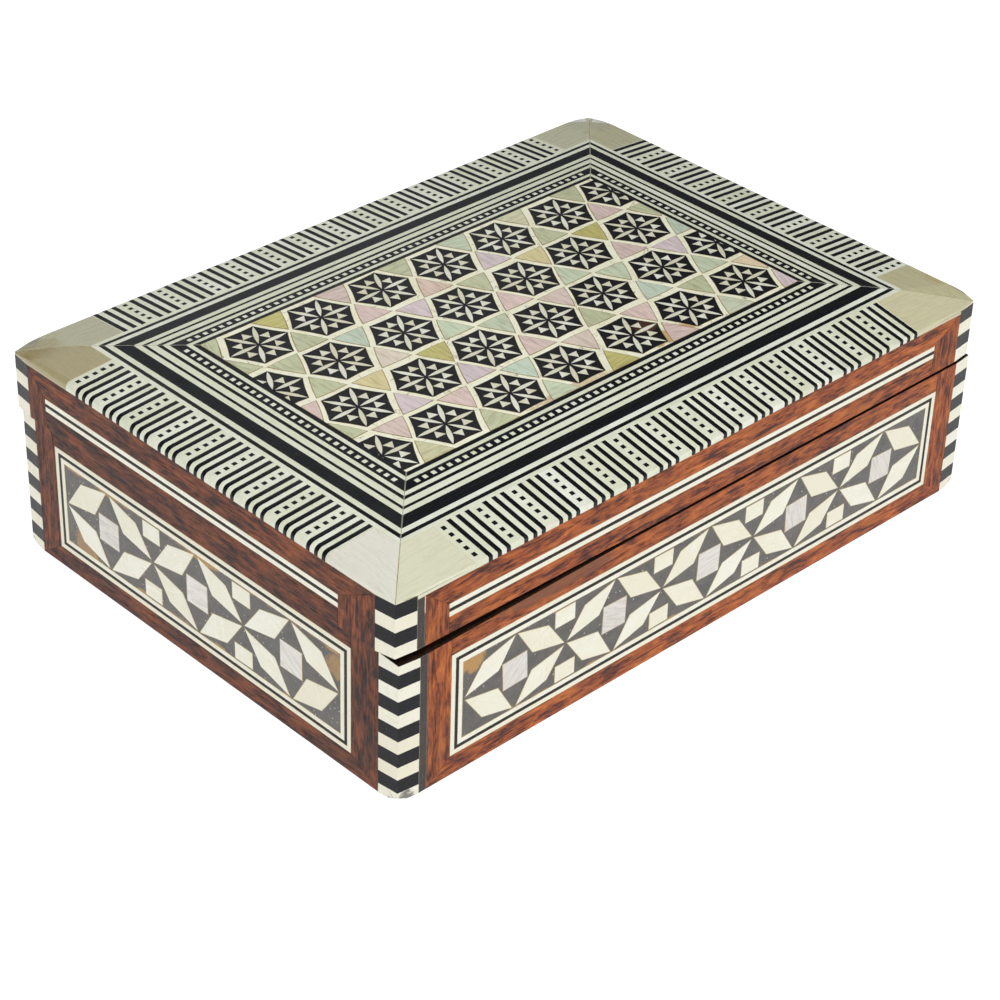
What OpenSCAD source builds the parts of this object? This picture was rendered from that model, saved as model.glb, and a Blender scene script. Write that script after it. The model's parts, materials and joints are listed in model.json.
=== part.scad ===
// Hinged wooden box with a bone, ebony and mother-of-pearl inlay.
// Millimetres, +Z up. The origin is the middle of the underside, the front faces -Y
// and the lid is hinged along the back.

/* [Box] */
// Length along the front
box_len = 160; // [156:1:166]
// Depth from front to back
box_dep = 112; // [108:1:118]
// Height of the closed box at the middle of its lid
box_h = 48; // [47:0.5:52]
// Height of the middle of the seam between base and lid
seam_z = 32; // [31:0.5:33]
// Open height of the seam
seam_gap = 0.7; // [0.4:0.1:1]
// How far the lid sits to the left of the base
lid_off = 0.9; // [0:0.1:1]
// How far each corner is cut back along both sides
corner_cut = 5.2; // [4.5:0.1:6]
// How far the ridge of a corner column stands in from the corner
ridge = 0.55; // [0.4:0.05:1.5]
// Height worn off the foot of a corner column
foot_worn = 0.95; // [0.5:0.05:1.5]
// Length of the worn part of the seam, from the front left corner
seam_worn = 62; // [40:1:80]

/* [Carcass] */
// Thickness of the carcass walls
wall_t = 5; // [4.5:0.5:6]
// Thickness of the wood and inlay skin on the sides
skin_t = 1; // [0.8:0.1:1.2]
// Thickness of the floor board
floor_t = 4; // [3:0.5:5]
// Thickness of the felt under the box
felt_t = 0.8; // [0.5:0.1:1.2]
// Thickness of the glue lines between pieces of one kind
glue = 0.06; // [0.04:0.02:0.1]

/* [Side panels] */
// From a corner of the box to the end of a side panel
panel_in = 12; // [11.5:0.1:13]
// How far a panel on a long side lies off the middle
panel_off_long = 0.8; // [-1:0.1:1]
// How far a panel on a short side lies off the middle
panel_off_short = -0.6; // [-1:0.1:1]
// Height of the bottom rail under a side panel
panel_z = 4.4; // [4:0.1:5]
// Height of the top rail over a side panel
panel_top = 3.4; // [3:0.1:4]
// How much deeper the top rail is on a long side
panel_drop = 0.9; // [0:0.1:1.2]
// Width of a white line
line_w = 1.05; // [0.9:0.05:1.2]
// Width of the black line between two white ones
line_b = 0.75; // [0.6:0.05:0.9]
// Number of inlaid eyes on a long side
eyes_long = 5; // [4:1:5]
// Number of inlaid eyes on a short side
eyes_short = 3; // [2:1:3]
// Edge of the pearl square in an eye
pearl_w = 6.3; // [5:0.1:7]
// Unevenness of hand-laid pieces
hand = 0.22; // [0:0.02:0.25]

/* [Lid sides] */
// Height of the upper edge of the lid's line strip
strip_top = 39.1; // [38.5:0.1:39.6]
// Width of the black line in the lid's line strip
lid_line_b = 0.75; // [0.6:0.05:1.2]
// From a corner of the box to the end of the lid's line strip
lid_stile = 12.8; // [12:0.1:14]
// How far the line strip lies off the middle of a short side
lid_shift = 2.2; // [0:0.1:2.5]
// Width of the dark filler beside the front left corner
filler_w = 1.9; // [0.6:0.1:2.2]

/* [Lid top] */
// Height where the sides end and the top border rolls over
edge_z = 44.4; // [44:0.1:44.8]
// How much lower that height is along the front and back
edge_drop = 0.7; // [0:0.1:0.8]
// Rise from the outer border to the middle, per millimetre
slope = 0.073; // [0.05:0.005:0.09]
// Steeper rise of the border along the front, per millimetre
slope_front = 0.19; // [0.1:0.01:0.2]
// Radius of the rolled edge at the sides and back
roll_side = 1.3; // [1:0.1:1.6]
// Radius of the rolled edge along the front
roll_front = 0.5; // [0.4:0.1:0.8]
// How far the back corners of the border bend down
corner_fall = 1.3; // [0.5:0.1:1.5]
// Thickness of the inlay on the top
inlay_t = 1.2; // [1:0.1:1.3]
// Width of the barred border
border_w = 11.1; // [10.5:0.1:11.5]
// Length of a shell corner along a long side
shell_long = 19; // [18:0.5:20]
// Length of a shell corner along a short side
shell_short = 18; // [17:0.5:19]
// Dotted columns on a long side of the border
cols_long = 14; // [12:1:14]
// Dotted columns on a short side of the border
cols_short = 9; // [8:1:9]
// Black squares in a dotted column
dots = 5; // [4:1:5]
// Width of a black bar
bar_w = 1.05; // [0.9:0.05:1.1]
// Edge of a small inlaid square
dot_w = 0.95; // [0.8:0.05:1]
// Spacing of the white squares in the checker strip
check_pitch = 2; // [1.9:0.05:2.2]

/* [Mosaic] */
// Spacing of the stars along a row
star_pitch = 16.5; // [16:0.1:17]
// Spacing of the rows
row_pitch = 15.07; // [14.8:0.05:15.2]
// Radius of a star tile at its points
star_r = 7.25; // [6.8:0.05:7.3]
// Hollow of a star tile's sides
star_dip = 0.15; // [0.1:0.05:0.6]
// Size of a shell triangle next to the gap it fills
shell_fill = 0.93; // [0.8:0.01:0.95]
// Fullness of a shell triangle's sides
shell_full = 0.15; // [0.1:0.05:0.4]
// Half width of a bone sliver in a star
sliver_w = 0.52; // [0.4:0.02:0.6]
// Radius of a bone triangle in a star
point_r = 1.36; // [1:0.02:1.5]

/* [Hinges] */
// Distance of each hinge from the middle of the back
hinge_x = 45; // [35:1:55]
// Length of a hinge
hinge_l = 16; // [14:1:20]
// Outer radius of a hinge knuckle
knuckle_r = 1.3; // [1.2:0.05:1.4]
// Radius of a hinge pin
pin_r = 0.62; // [0.5:0.02:0.7]
// Thickness of a hinge leaf
leaf_t = 0.7; // [0.6:0.05:0.8]
// Gap between the closed leaves
leaf_gap = 0.3; // [0.2:0.05:0.4]
// Length of a hinge screw
screw_l = 6.5; // [5:0.5:8]

/* [Lining] */
// Thickness of the velvet on the walls
velvet_t = 1; // [0.6:0.1:1.4]
// Thickness of the velvet pads on the floor and in the lid
pad_t = 1.6; // [1:0.1:2]

/* [Hidden] */

FRONT = 0;
RIGHT = 1;
BACK = 2;
LEFT = 3;
SIDES = [FRONT, RIGHT, BACK, LEFT];

eps = 0.01;
cut = 1;
gap_fit = 0.03;
bore_fn = 48;
arc_fn = 96;
hollow_steps = 4;
lens_steps = 6;

base_top = seam_z - seam_gap / 2;
lid_bottom = seam_z + seam_gap / 2;
inner = skin_t + wall_t;
carcass_cut = 7.4;
board_z = 41.2;
seat_low = 43.9;
base_worn = 1;
lid_worn = 0.45;

function long_side(i) = i % 2 == 0;
function span(i) = long_side(i) ? box_len : box_dep;
function reach(i) = (long_side(i) ? box_dep : box_len) / 2;

// A small repeatable unevenness for piece number n, between -1 and 1
function wob(n) = sin(n * 137.508) * cos(n * 61.7);

// Puts a child drawn on the front face, at y = 0 and looking along +y, on side i
module on_side(i) {
    rotate([0, 0, 90 * i]) translate([0, -reach(i), 0]) children();
}

// A child drawn at the front left corner, at all four corners
module at_corners() {
    for (sx = [0, 1], sy = [0, 1])
        mirror([sx, 0, 0]) mirror([0, sy, 0])
            translate([-box_len / 2, -box_dep / 2, 0]) children();
}

// Upright plate on a face: the outline is drawn as x and z, its depth runs inwards
module plate(depth) {
    translate([0, depth, 0]) rotate([90, 0, 0]) linear_extrude(depth) children();
}

// The lid as a whole sits a little to the left of the base
module lid_set() {
    translate([-lid_off, 0, 0]) children();
}

// Slanting cut of height h at the front left corner, from height z up or down, for a seam
// that gapes at that corner and closes along the front
module seam_wear(z, h, dir) {
    fall_x = h / seam_worn;
    fall_y = h / corner_cut;
    far = seam_worn + corner_cut;
    translate([-box_len / 2, -box_dep / 2, z]) mirror([0, 0, dir > 0 ? 0 : 1])
        translate([0, 0, h]) rotate([0, 0, -atan(fall_x / fall_y)])
            rotate([-atan(norm([fall_x, fall_y])), 0, 0])
                translate([-inner, -inner, -inner]) cube([far + 2 * inner, 2 * inner + cut, inner]);
}

// ---- plan outlines

module box_outline() {
    c = corner_cut;
    g = ridge;
    corner = [[c, 0], [g, g], [0, c]];
    x = box_len / 2;
    y = box_dep / 2;
    polygon(concat(
        [for (p = corner) [-x + p[0], -y + p[1]]],
        [for (k = [2, 1, 0]) [-x + corner[k][0], y - corner[k][1]]],
        [for (p = corner) [x - p[0], y - p[1]]],
        [for (k = [2, 1, 0]) [x - corner[k][0], -y + corner[k][1]]]));
}

// Outline under the skin, with plain cut corners
module carcass_outline() {
    a = skin_t;
    b = carcass_cut - skin_t;
    x = box_len / 2;
    y = box_dep / 2;
    polygon([[-x + b, -y + a], [-x + a, -y + b], [-x + a, y - b], [-x + b, y - a],
        [x - b, y - a], [x - a, y - b], [x - a, -y + b], [x - b, -y + a]]);
}

// The ground that one side takes up between its two mitres, to a depth d
module mitre_field(i, d) {
    s = span(i) / 2 - glue * 0.7;
    polygon([[-s, 0], [s, 0], [s - d, d], [-s + d, d]]);
}

// ---- carcass

module underside_felt() {
    color("darkolivegreen") linear_extrude(felt_t) carcass_outline();
}

module base_floor() {
    color("burlywood") translate([0, 0, felt_t]) linear_extrude(floor_t) carcass_outline();
}

// A mitred carcass wall of side i
module wall(i, z0, z1) {
    translate([0, 0, z0]) linear_extrude(z1 - z0) intersection() {
        carcass_outline();
        rotate(90 * i) translate([0, -reach(i)]) mitre_field(i, inner);
    }
}

// Room for the hinge leaves in the rims, with the holes for their screws
module hinge_seats(z0, z1, up) {
    for (s = [-1, 1]) translate([s * hinge_x, box_dep / 2, 0]) {
        translate([-hinge_l / 2 - gap_fit, -leaf_w - gap_fit, z0])
            cube([hinge_l + 2 * gap_fit, leaf_w + cut, z1 - z0]);
        for (k = [-1, 1]) translate([k * screw_x, screw_y, up > 0 ? z1 : z0 - screw_l])
            cylinder(r = screw_r + gap_fit, h = screw_l, $fn = bore_fn);
    }
}

module base_hinge_seats() {
    hinge_seats(leaf_low - gap_fit, seam_z, -1);
}

module lid_hinge_seats() {
    hinge_seats(seam_z, leaf_high + gap_fit, 1);
}

module base_wall(i) {
    color("tan") difference() {
        wall(i, felt_t + floor_t, base_top);
        if (i == BACK) base_hinge_seats();
        if (i == FRONT || i == LEFT) seam_wear(base_top, base_worn, -1);
    }
}

module base_front_wall() { base_wall(FRONT); }
module base_right_wall() { base_wall(RIGHT); }
module base_back_wall() { base_wall(BACK); }
module base_left_wall() { base_wall(LEFT); }

module lid_wall(i) {
    color("tan") difference() {
        lid_set() wall(i, lid_bottom, board_z);
        if (i == BACK) lid_hinge_seats();
        if (i == FRONT || i == LEFT) lid_set() seam_wear(lid_bottom, lid_worn, 1);
    }
}

module lid_front_wall() { lid_wall(FRONT); }
module lid_right_wall() { lid_wall(RIGHT); }
module lid_back_wall() { lid_wall(BACK); }
module lid_left_wall() { lid_wall(LEFT); }

// ---- wood frames on the sides

// Free length at the left end of a face, past the corner column and any dark filler
function frame_x0(i) = -span(i) / 2 + corner_cut + (i == FRONT ? filler_w : 0);
function frame_x1(i) = span(i) / 2 - corner_cut;
function panel_x(i) = span(i) / 2 - panel_in;
function panel_off(i) = long_side(i) ? panel_off_long : panel_off_short;
function panel_z1(i) = base_top - panel_top - (long_side(i) ? panel_drop : 0);

// Base frame: two stiles, a bottom rail mitred to them and a top rail between them
module base_frame(i) {
    x0 = frame_x0(i);
    x1 = frame_x1(i);
    p0 = panel_off(i) - panel_x(i);
    p1 = panel_off(i) + panel_x(i);
    z1 = panel_z1(i);
    color("sienna") difference() {
        on_side(i) plate(skin_t) {
            polygon([[x0, glue], [p0, panel_z + glue], [p0, base_top], [x0, base_top]]);
            polygon([[x1, glue], [p1, panel_z + glue], [p1, base_top], [x1, base_top]]);
            polygon([[x0, 0], [x1, 0], [p1, panel_z], [p0, panel_z]]);
            translate([p0 + glue, z1]) square([p1 - p0 - 2 * glue, base_top - z1]);
        }
        if (i == BACK) base_hinge_seats();
        if (i == FRONT) seam_wear(base_top, base_worn, -1);
    }
}

module base_front_frame() { base_frame(FRONT); }
module base_right_frame() { base_frame(RIGHT); }
module base_back_frame() { base_frame(BACK); }
module base_left_frame() { base_frame(LEFT); }

strip_h = 2 * line_w + lid_line_b;

function edge(i) = long_side(i) ? edge_z - edge_drop : edge_z;
function strip_off(i) = long_side(i) ? 0 : -lid_shift;
function strip_x0(i) = strip_off(i) - span(i) / 2 + lid_stile;
function strip_x1(i) = strip_off(i) + span(i) / 2 - lid_stile;

// Lid frame: two stiles, a top rail mitred to them and a bottom rail between them
module lid_frame(i) {
    x0 = frame_x0(i);
    x1 = frame_x1(i);
    s0 = strip_x0(i);
    s1 = strip_x1(i);
    z1 = edge(i);
    color("sienna") difference() {
        lid_set() on_side(i) plate(skin_t) {
            polygon([[x0, lid_bottom], [s0, lid_bottom], [s0, strip_top - glue], [x0, z1 - glue]]);
            polygon([[x1, lid_bottom], [s1, lid_bottom], [s1, strip_top - glue], [x1, z1 - glue]]);
            polygon([[x0, z1], [x1, z1], [s1, strip_top], [s0, strip_top]]);
            translate([s0 + glue, lid_bottom])
                square([s1 - s0 - 2 * glue, strip_top - strip_h - lid_bottom]);
        }
        if (i == BACK) lid_hinge_seats();
        if (i == FRONT) lid_set() seam_wear(lid_bottom, lid_worn, 1);
    }
}

module lid_front_frame() { lid_frame(FRONT); }
module lid_right_frame() { lid_frame(RIGHT); }
module lid_back_frame() { lid_frame(BACK); }
module lid_left_frame() { lid_frame(LEFT); }

module lid_white_lines() {
    color("ivory") for (i = SIDES) lid_set() on_side(i) plate(skin_t)
        for (z = [strip_top - line_w, strip_top - strip_h])
            translate([strip_x0(i), z]) square([strip_x1(i) - strip_x0(i), line_w]);
}

module lid_black_lines() {
    color("black") for (i = SIDES) lid_set() on_side(i) plate(skin_t)
        translate([strip_x0(i), strip_top - line_w - lid_line_b])
            square([strip_x1(i) - strip_x0(i), lid_line_b]);
}

// ---- side panels of the base

// A rectangular line of width w round a side panel, d inside the panel's edge
module panel_ring(i, d, w) {
    px = panel_x(i) - d;
    h = panel_z1(i) - panel_z - 2 * d;
    translate([panel_off(i) - px, panel_z + d]) difference() {
        square([2 * px, h]);
        translate([w, w]) square([2 * px - 2 * w, h - 2 * w]);
    }
}

module base_white_lines() {
    color("ivory") for (i = SIDES) on_side(i) plate(skin_t) {
        panel_ring(i, 0, line_w);
        panel_ring(i, line_w + line_b, line_w);
    }
}

module base_black_lines() {
    color("black") for (i = SIDES) on_side(i) plate(skin_t) panel_ring(i, line_w, line_b);
}

ring_t = 2 * line_w + line_b;
eye_margin = 0.3;

function ground_h(i) = panel_z1(i) - panel_z - 2 * ring_t;
function ground_mid(i) = (panel_z1(i) + panel_z) / 2;
function eye_h(i) = ground_h(i) / 2 - eye_margin;
function ground_x(i) = panel_x(i) - ring_t;
function eyes(i) = long_side(i) ? eyes_long : eyes_short;
function eye_pitch(i) = 2 * (ground_x(i) - 0.25) / eyes(i);
function eye_x(i, k) = panel_off(i) + (k - (eyes(i) - 1) / 2) * eye_pitch(i);

// Four lozenges that frame one eye of half length half and half height tall, each off true
module eye_lozenges(half, tall, n) {
    for (sx = [-1, 1], sz = [-1, 1]) {
        m = 4 * n + 2 * (sx + 1) / 2 + (sz + 1) / 2;
        lift = 0.3 + hand * wob(m);
        dx = hand * wob(m + 40);
        polygon([[sx * half, sz * lift], [sx * half * 0.655, sz * (tall * 0.76 + dx)],
            [sx * (0.35 + dx), sz * tall], [sx * half * 0.34, sz * (tall * 0.235 - dx)]]);
    }
}

module base_bone_lozenges() {
    color("ivory") for (i = SIDES) on_side(i) plate(skin_t)
        for (k = [0 : eyes(i) - 1]) translate([eye_x(i, k), ground_mid(i)])
            eye_lozenges(eye_pitch(i) / 2 - 0.35, eye_h(i), 7 * i + k);
}

tab_w = 5.2;
tab_h = 3.8;

module base_bone_tabs() {
    color("ivory") for (i = SIDES) on_side(i) plate(skin_t)
        for (k = [0 : eyes(i) - 2], sz = [-1, 1]) {
            n = 31 + 9 * i + 2 * k + sz;
            translate([eye_x(i, k + 0.5) + 2 * hand * wob(n),
                    ground_mid(i) + sz * (ground_h(i) / 2 - tab_h / 2 - eye_margin)])
                rotate(5 * hand * wob(n + 3)) square([tab_w, tab_h], center = true);
        }
}

module base_pearl_squares() {
    color("gainsboro") for (i = SIDES) on_side(i) plate(skin_t)
        for (k = [0 : eyes(i) - 1]) {
            n = 17 * i + 3 * k + 5;
            translate([eye_x(i, k) + hand * wob(n), ground_mid(i)])
                rotate(3 * wob(n + 1)) square(pearl_w, center = true);
        }
}

module base_panel_grounds() {
    color("dimgray") difference() {
        for (i = SIDES) on_side(i) plate(skin_t)
            translate([panel_off(i) - ground_x(i), ground_mid(i) - ground_h(i) / 2])
                square([2 * ground_x(i), ground_h(i)]);
        base_bone_lozenges();
        base_bone_tabs();
        base_pearl_squares();
    }
}

// ---- corner columns, built up from ebony and bone slices

module column_slice(z0, z1) {
    c = corner_cut;
    b = carcass_cut - skin_t;
    translate([0, 0, z0]) linear_extrude(z1 - z0)
        polygon([[c, 0], [ridge, ridge], [0, c], [skin_t, c], [skin_t, b],
            [b, skin_t], [c, skin_t]]);
}

base_slice = 2.95;
base_slices = ceil(base_top / base_slice);
lid_slices = 4;
lid_slice = (edge_z - lid_bottom) / lid_slices;

// Slanted cut that wears the foot of a column away under its ridge
module foot_wear() {
    rotate([0, 0, 45]) translate([ridge * sqrt(2), 0, foot_worn]) rotate([0, 35, 0])
        translate([-corner_cut, -corner_cut, -corner_cut])
            cube([2 * corner_cut, 2 * corner_cut, corner_cut]);
}

module base_column(first) {
    difference() {
        for (k = [first : 2 : base_slices - 1])
            at_corners()
                column_slice(max(0, base_top - (k + 1) * base_slice), base_top - k * base_slice);
        at_corners() foot_wear();
        seam_wear(base_top, base_worn, -1);
    }
}

module lid_column(first) {
    lid_set() difference() {
        for (k = [first : 2 : lid_slices - 1])
            at_corners()
                column_slice(edge_z - (k + 1) * lid_slice, edge_z - k * lid_slice);
        seam_wear(lid_bottom, lid_worn, 1);
    }
}

module base_column_bone() { color("ivory") base_column(0); }
module base_column_ebony() { color("black") base_column(1); }
module lid_column_ebony() { color("black") lid_column(0); }
module lid_column_bone() { color("ivory") lid_column(1); }

module edge_filler(z0, z1) {
    on_side(FRONT) plate(skin_t)
        translate([-box_len / 2 + corner_cut, z0]) square([filler_w, z1 - z0]);
}

module base_edge_filler() {
    color("darkslategray") difference() {
        edge_filler(0, base_top);
        seam_wear(base_top, base_worn, -1);
    }
}

module lid_edge_filler() {
    color("darkslategray") lid_set() difference() {
        edge_filler(lid_bottom, edge(FRONT));
        seam_wear(lid_bottom, lid_worn, 1);
    }
}

// ---- top of the lid

ring_w = [1.0, 0.9, 1.15, 2.8, 1.15, 0.65, 1.4, 0.8, 0.95, 2.3, 0.9, 1.0];
white_rings = [0, 2, 4, 6, 8, 10];
thin_rings = [1, 5, 7, 11];
band_ring = 3;
checker_ring = 9;

function sum_to(k) = k == 0 ? 0 : ring_w[k - 1] + sum_to(k - 1);
function ring_d(k) = border_w + sum_to(k);
field_d = ring_d(len(ring_w));

// Height of the finished top, d in from the side, and of the border on side i
function top_z(d) = box_h - max(0, field_d - d) * slope;
function border_z(i, d) = top_z(border_w) - (border_w - d) * (i == FRONT ? slope_front : slope);
function roll(i) = i == FRONT ? roll_front : roll_side;

module lid_board_profile(i) {
    s = reach(i);
    side = [[skin_t, seat_low], [border_w, top_z(border_w) - inlay_t], [field_d, box_h - inlay_t]];
    rotate([90, 0, 90 * i]) linear_extrude(span(i), center = true)
        polygon(concat([[-s + skin_t, board_z]], [for (p = side) [-s + p[0], p[1]]],
            [for (k = [2, 1, 0]) [s - side[k][0], side[k][1]]], [[s - skin_t, board_z]]));
}

module lid_top_board() {
    color("tan") lid_set() intersection() {
        translate([0, 0, board_z]) linear_extrude(box_h - board_z) carcass_outline();
        rotate([0, 0, 90]) lid_board_profile(FRONT);
        rotate([0, 0, -90]) lid_board_profile(RIGHT);
    }
}

// Section of the border on side i: rolled over the edge outside, bedded on the board inside
module border_section(i) {
    r = roll(i);
    z = border_z(i, r);
    difference() {
        polygon([[0, edge(i)], [0, z], [r, z], [border_w, top_z(border_w)],
            [border_w, top_z(border_w) - inlay_t], [skin_t, seat_low], [skin_t, edge(i)]]);
        difference() {
            translate([-cut, z - r]) square([r + cut, r + cut]);
            translate([r, z - r]) circle(r, $fn = arc_fn);
        }
    }
}

module ring_section(k) {
    a = ring_d(k);
    b = ring_d(k + 1);
    polygon([[a, top_z(a) - inlay_t], [a, top_z(a)], [b, top_z(b)], [b, top_z(b) - inlay_t]]);
}

// A section drawn as depth and height, run along a face from x0 to x1
module run(x0, x1) {
    translate([x0, 0, 0]) rotate([90, 0, 90]) linear_extrude(x1 - x0) children();
}

// A section run along side i and mitred at both ends
module mitred_run(i, d) {
    intersection() {
        run(-span(i) / 2, span(i) / 2) children();
        linear_extrude(box_h + cut) mitre_field(i, d);
    }
}

function shell_l(i) = long_side(i) ? shell_long : shell_short;
function strip_l(i) = span(i) - 2 * shell_l(i);
function cols(i) = long_side(i) ? cols_long : cols_short;
function col_pitch(i) = strip_l(i) / cols(i);
bars_between = 3;

// Middle of dotted column k, and of bar j after it
function col_x(i, k) = -strip_l(i) / 2 + (k + 0.16) * col_pitch(i);
function bar_x(i, k, j) = col_x(i, k) + (j + 1) * col_pitch(i) / (bars_between + 1)
    + hand * 0.3 * wob(31 * i + 5 * k + j);

module border_ebony_bars() {
    color("black") for (i = SIDES) lid_set() on_side(i)
        for (k = [0 : cols(i) - 1], j = [0 : bars_between - 1]) {
            x = bar_x(i, k, j);
            run(x - bar_w / 2, x + bar_w / 2) border_section(i);
        }
}

dot_pitch = (border_w - 1.2) / dots;

// One dotted column: black squares let through the bone, counted from the inner edge
module dot_column(i, k) {
    for (m = [0 : dots - 1]) {
        n = 11 * i + 7 * k + m;
        d = border_w - dot_pitch * (m + 0.62);
        translate([col_x(i, k) + hand * 0.4 * wob(n), d, edge_z])
            translate([-dot_w / 2, -dot_w / 2, 0]) cube([dot_w, dot_w, box_h - edge_z]);
    }
}

module border_ebony_dots() {
    color("black") for (i = SIDES) lid_set() on_side(i) for (k = [0 : cols(i) - 1])
        intersection() {
            dot_column(i, k);
            run(col_x(i, k) - bar_w, col_x(i, k) + bar_w) border_section(i);
        }
}

// Bone sections of one side: the blocks between the bars, with square holes for the dots
module bone_blocks(i) {
    for (k = [0 : cols(i) - 1]) {
        x0 = k == 0 ? -strip_l(i) / 2 : bar_x(i, k - 1, bars_between - 1) + bar_w / 2;
        difference() {
            run(x0, bar_x(i, k, 0) - bar_w / 2) border_section(i);
            dot_column(i, k);
        }
        for (j = [0 : bars_between - 2])
            run(bar_x(i, k, j) + bar_w / 2, bar_x(i, k, j + 1) - bar_w / 2) border_section(i);
    }
    run(bar_x(i, cols(i) - 1, bars_between - 1) + bar_w / 2, strip_l(i) / 2) border_section(i);
}

module border_bone() {
    color("ivory") for (i = SIDES) lid_set() on_side(i) bone_blocks(i);
}

// All that lies above the steeper front border, carried on over the corners
module above_front() {
    on_side(FRONT) run(-box_len / 2 - cut, box_len / 2 + cut)
        polygon([[-cut, border_z(FRONT, -cut)], [border_w, top_z(border_w)],
            [border_w, box_h + cut], [-cut, box_h + cut]]);
}

// All that lies above a back corner as it bends down towards its point
module above_corner() {
    far = border_w * sqrt(2);
    r = (far * far + corner_fall * corner_fall) / (2 * corner_fall);
    tilt = atan(slope / sqrt(2));
    rotate([0, 0, 45]) translate([far, 0, top_z(border_w)]) rotate([0, -tilt, 0])
        difference() {
            translate([-far - corner_cut, -far, -2 * corner_fall])
                cube([far + corner_cut, 2 * far, 4 * corner_fall]);
            translate([0, 0, -r]) rotate([90, 0, 0])
                cylinder(r = r, h = 3 * far, center = true, $fn = arc_fn);
        }
}

module border_corner_shells() {
    color("beige") lid_set() difference() {
        intersection() {
            for (i = SIDES) on_side(i) difference() {
                mitred_run(i, border_w) border_section(i);
                translate([-strip_l(i) / 2, -cut, 0])
                    cube([strip_l(i), border_w + 2 * cut, box_h]);
            }
            linear_extrude(box_h) box_outline();
        }
        at_corners() column_slice(seat_low - cut, edge_z);
        above_front();
        for (s = [0, 1]) mirror([s, 0, 0]) mirror([0, 1, 0])
            translate([-box_len / 2, -box_dep / 2, 0]) above_corner();
    }
}

module rings(list) {
    lid_set() for (k = list, i = SIDES) on_side(i) mitred_run(i, ring_d(k + 1)) ring_section(k);
}

module top_white_lines() { color("ivory") rings(white_rings); }
module top_black_lines() { color("black") rings(thin_rings); }
module top_black_band() { color("black") rings([band_ring]); }

checker_d = ring_d(checker_ring) + ring_w[checker_ring] / 2;
function checks(i) = floor((span(i) - 2 * checker_d) / check_pitch) - 1;

module checker_holes(i) {
    for (k = [0 : checks(i) - 1])
        translate([(k - (checks(i) - 1) / 2) * check_pitch + hand * 0.3 * wob(3 * k + i),
                checker_d, board_z])
            translate([-dot_w / 2, -dot_w / 2, 0]) cube([dot_w, dot_w, box_h - board_z]);
}

module checker_squares() {
    color("ivory") for (i = SIDES) lid_set() on_side(i) intersection() {
        checker_holes(i);
        run(-span(i) / 2, span(i) / 2) ring_section(checker_ring);
    }
}

module checker_band() {
    color("black") difference() {
        rings([checker_ring]);
        for (i = SIDES) lid_set() on_side(i) checker_holes(i);
    }
}

// ---- mosaic in the middle of the lid

field_x = box_len / 2 - field_d;
field_y = box_dep / 2 - field_d;
rows = 4;
stars_in_row = 7;
first_star = -45.6;

// Row 0 is nearest the front; rows -1 and 4 lie outside and only give their triangles
function row_y(r) = (r - (rows - 1) / 2) * row_pitch;
function row_shift(r) = abs(r) % 2 == 1 ? 0 : -star_pitch / 2;
function star_x(r, k) = first_star + row_shift(r) + k * star_pitch;
function star_num(r, k) = 8 * r + k + 20;

module star_place(r, k) {
    n = star_num(r, k);
    translate([star_x(r, k) + 2 * hand * wob(n), row_y(r) + 1.5 * hand * wob(n + 50)])
        rotate(2.5 * wob(n + 7)) children();
}

// Points from a to b on a shallow curve that stands rise off the chord, without b itself
function bowed(a, b, rise, steps) = [for (k = [0 : steps - 1])
    let (t = k / steps, side = [b[1] - a[1], a[0] - b[0]] / norm(b - a))
    a + (b - a) * t + side * rise * (1 - pow(2 * t - 1, 2))];

// Hexagon with its points left and right and its sides hollowed by star_dip
module star_outline() {
    tips = [for (a = [0 : 60 : 300]) star_r * [cos(a), sin(a)]];
    polygon([for (k = [0 : 5]) each bowed(tips[k], tips[(k + 1) % 6], -star_dip, hollow_steps)]);
}

sliver_r0 = 0.45;
sliver_r1 = star_r - 0.2;

// Six slim bone lenses that run out to the points
module sliver_outlines() {
    inner_tip = [sliver_r0, 0];
    outer_tip = [sliver_r1, 0];
    for (a = [0 : 60 : 300]) rotate(a) polygon(concat(
        bowed(inner_tip, outer_tip, sliver_w, lens_steps),
        bowed(outer_tip, inner_tip, sliver_w, lens_steps)));
}

point_at = 3.95;

// Six small bone triangles between the lenses, each with a point outwards
module point_outlines() {
    for (a = [30 : 60 : 330]) rotate(a) translate([point_at, 0])
        polygon([for (t = [0, 120, 240]) point_r * [cos(t), sin(t)]]);
}

module in_stars() {
    intersection() {
        for (r = [0 : rows - 1], k = [0 : stars_in_row - 1]) star_place(r, k) children();
        square([2 * field_x, 2 * field_y], center = true);
    }
}

module mosaic_layer() {
    lid_set() translate([0, 0, box_h - inlay_t]) linear_extrude(inlay_t) children();
}

module star_slivers() { color("ivory") mosaic_layer() in_stars() sliver_outlines(); }
module star_points() { color("ivory") mosaic_layer() in_stars() point_outlines(); }

module star_tiles() {
    color("black") mosaic_layer() in_stars() difference() {
        star_outline();
        sliver_outlines();
        point_outlines();
    }
}

// A shell triangle with slightly full sides, pointing up or down
module shell_outline(up) {
    w = star_pitch / 2 * shell_fill;
    h = row_pitch / 2 * shell_fill;
    tips = [[-w / 2, -up * h / 3], [w / 2, -up * h / 3], [0, up * h * 2 / 3]];
    polygon([for (k = [0 : 2]) each bowed(tips[k], tips[(k + 1) % 3], up * shell_full, hollow_steps)]);
}

module shell_outlines() {
    intersection() {
        for (r = [-1 : rows], k = [-1 : stars_in_row], up = [-1, 1]) {
            n = star_num(r, k) + 13 * up;
            translate([star_x(r, k) + hand * wob(n),
                    row_y(r) + up * row_pitch * 2 / 3 + hand * wob(n + 9)])
                rotate(2 * wob(n + 4)) shell_outline(up);
        }
        square([2 * field_x, 2 * field_y], center = true);
    }
}

module shell_triangles() { color("lightpink") mosaic_layer() shell_outlines(); }

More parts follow.
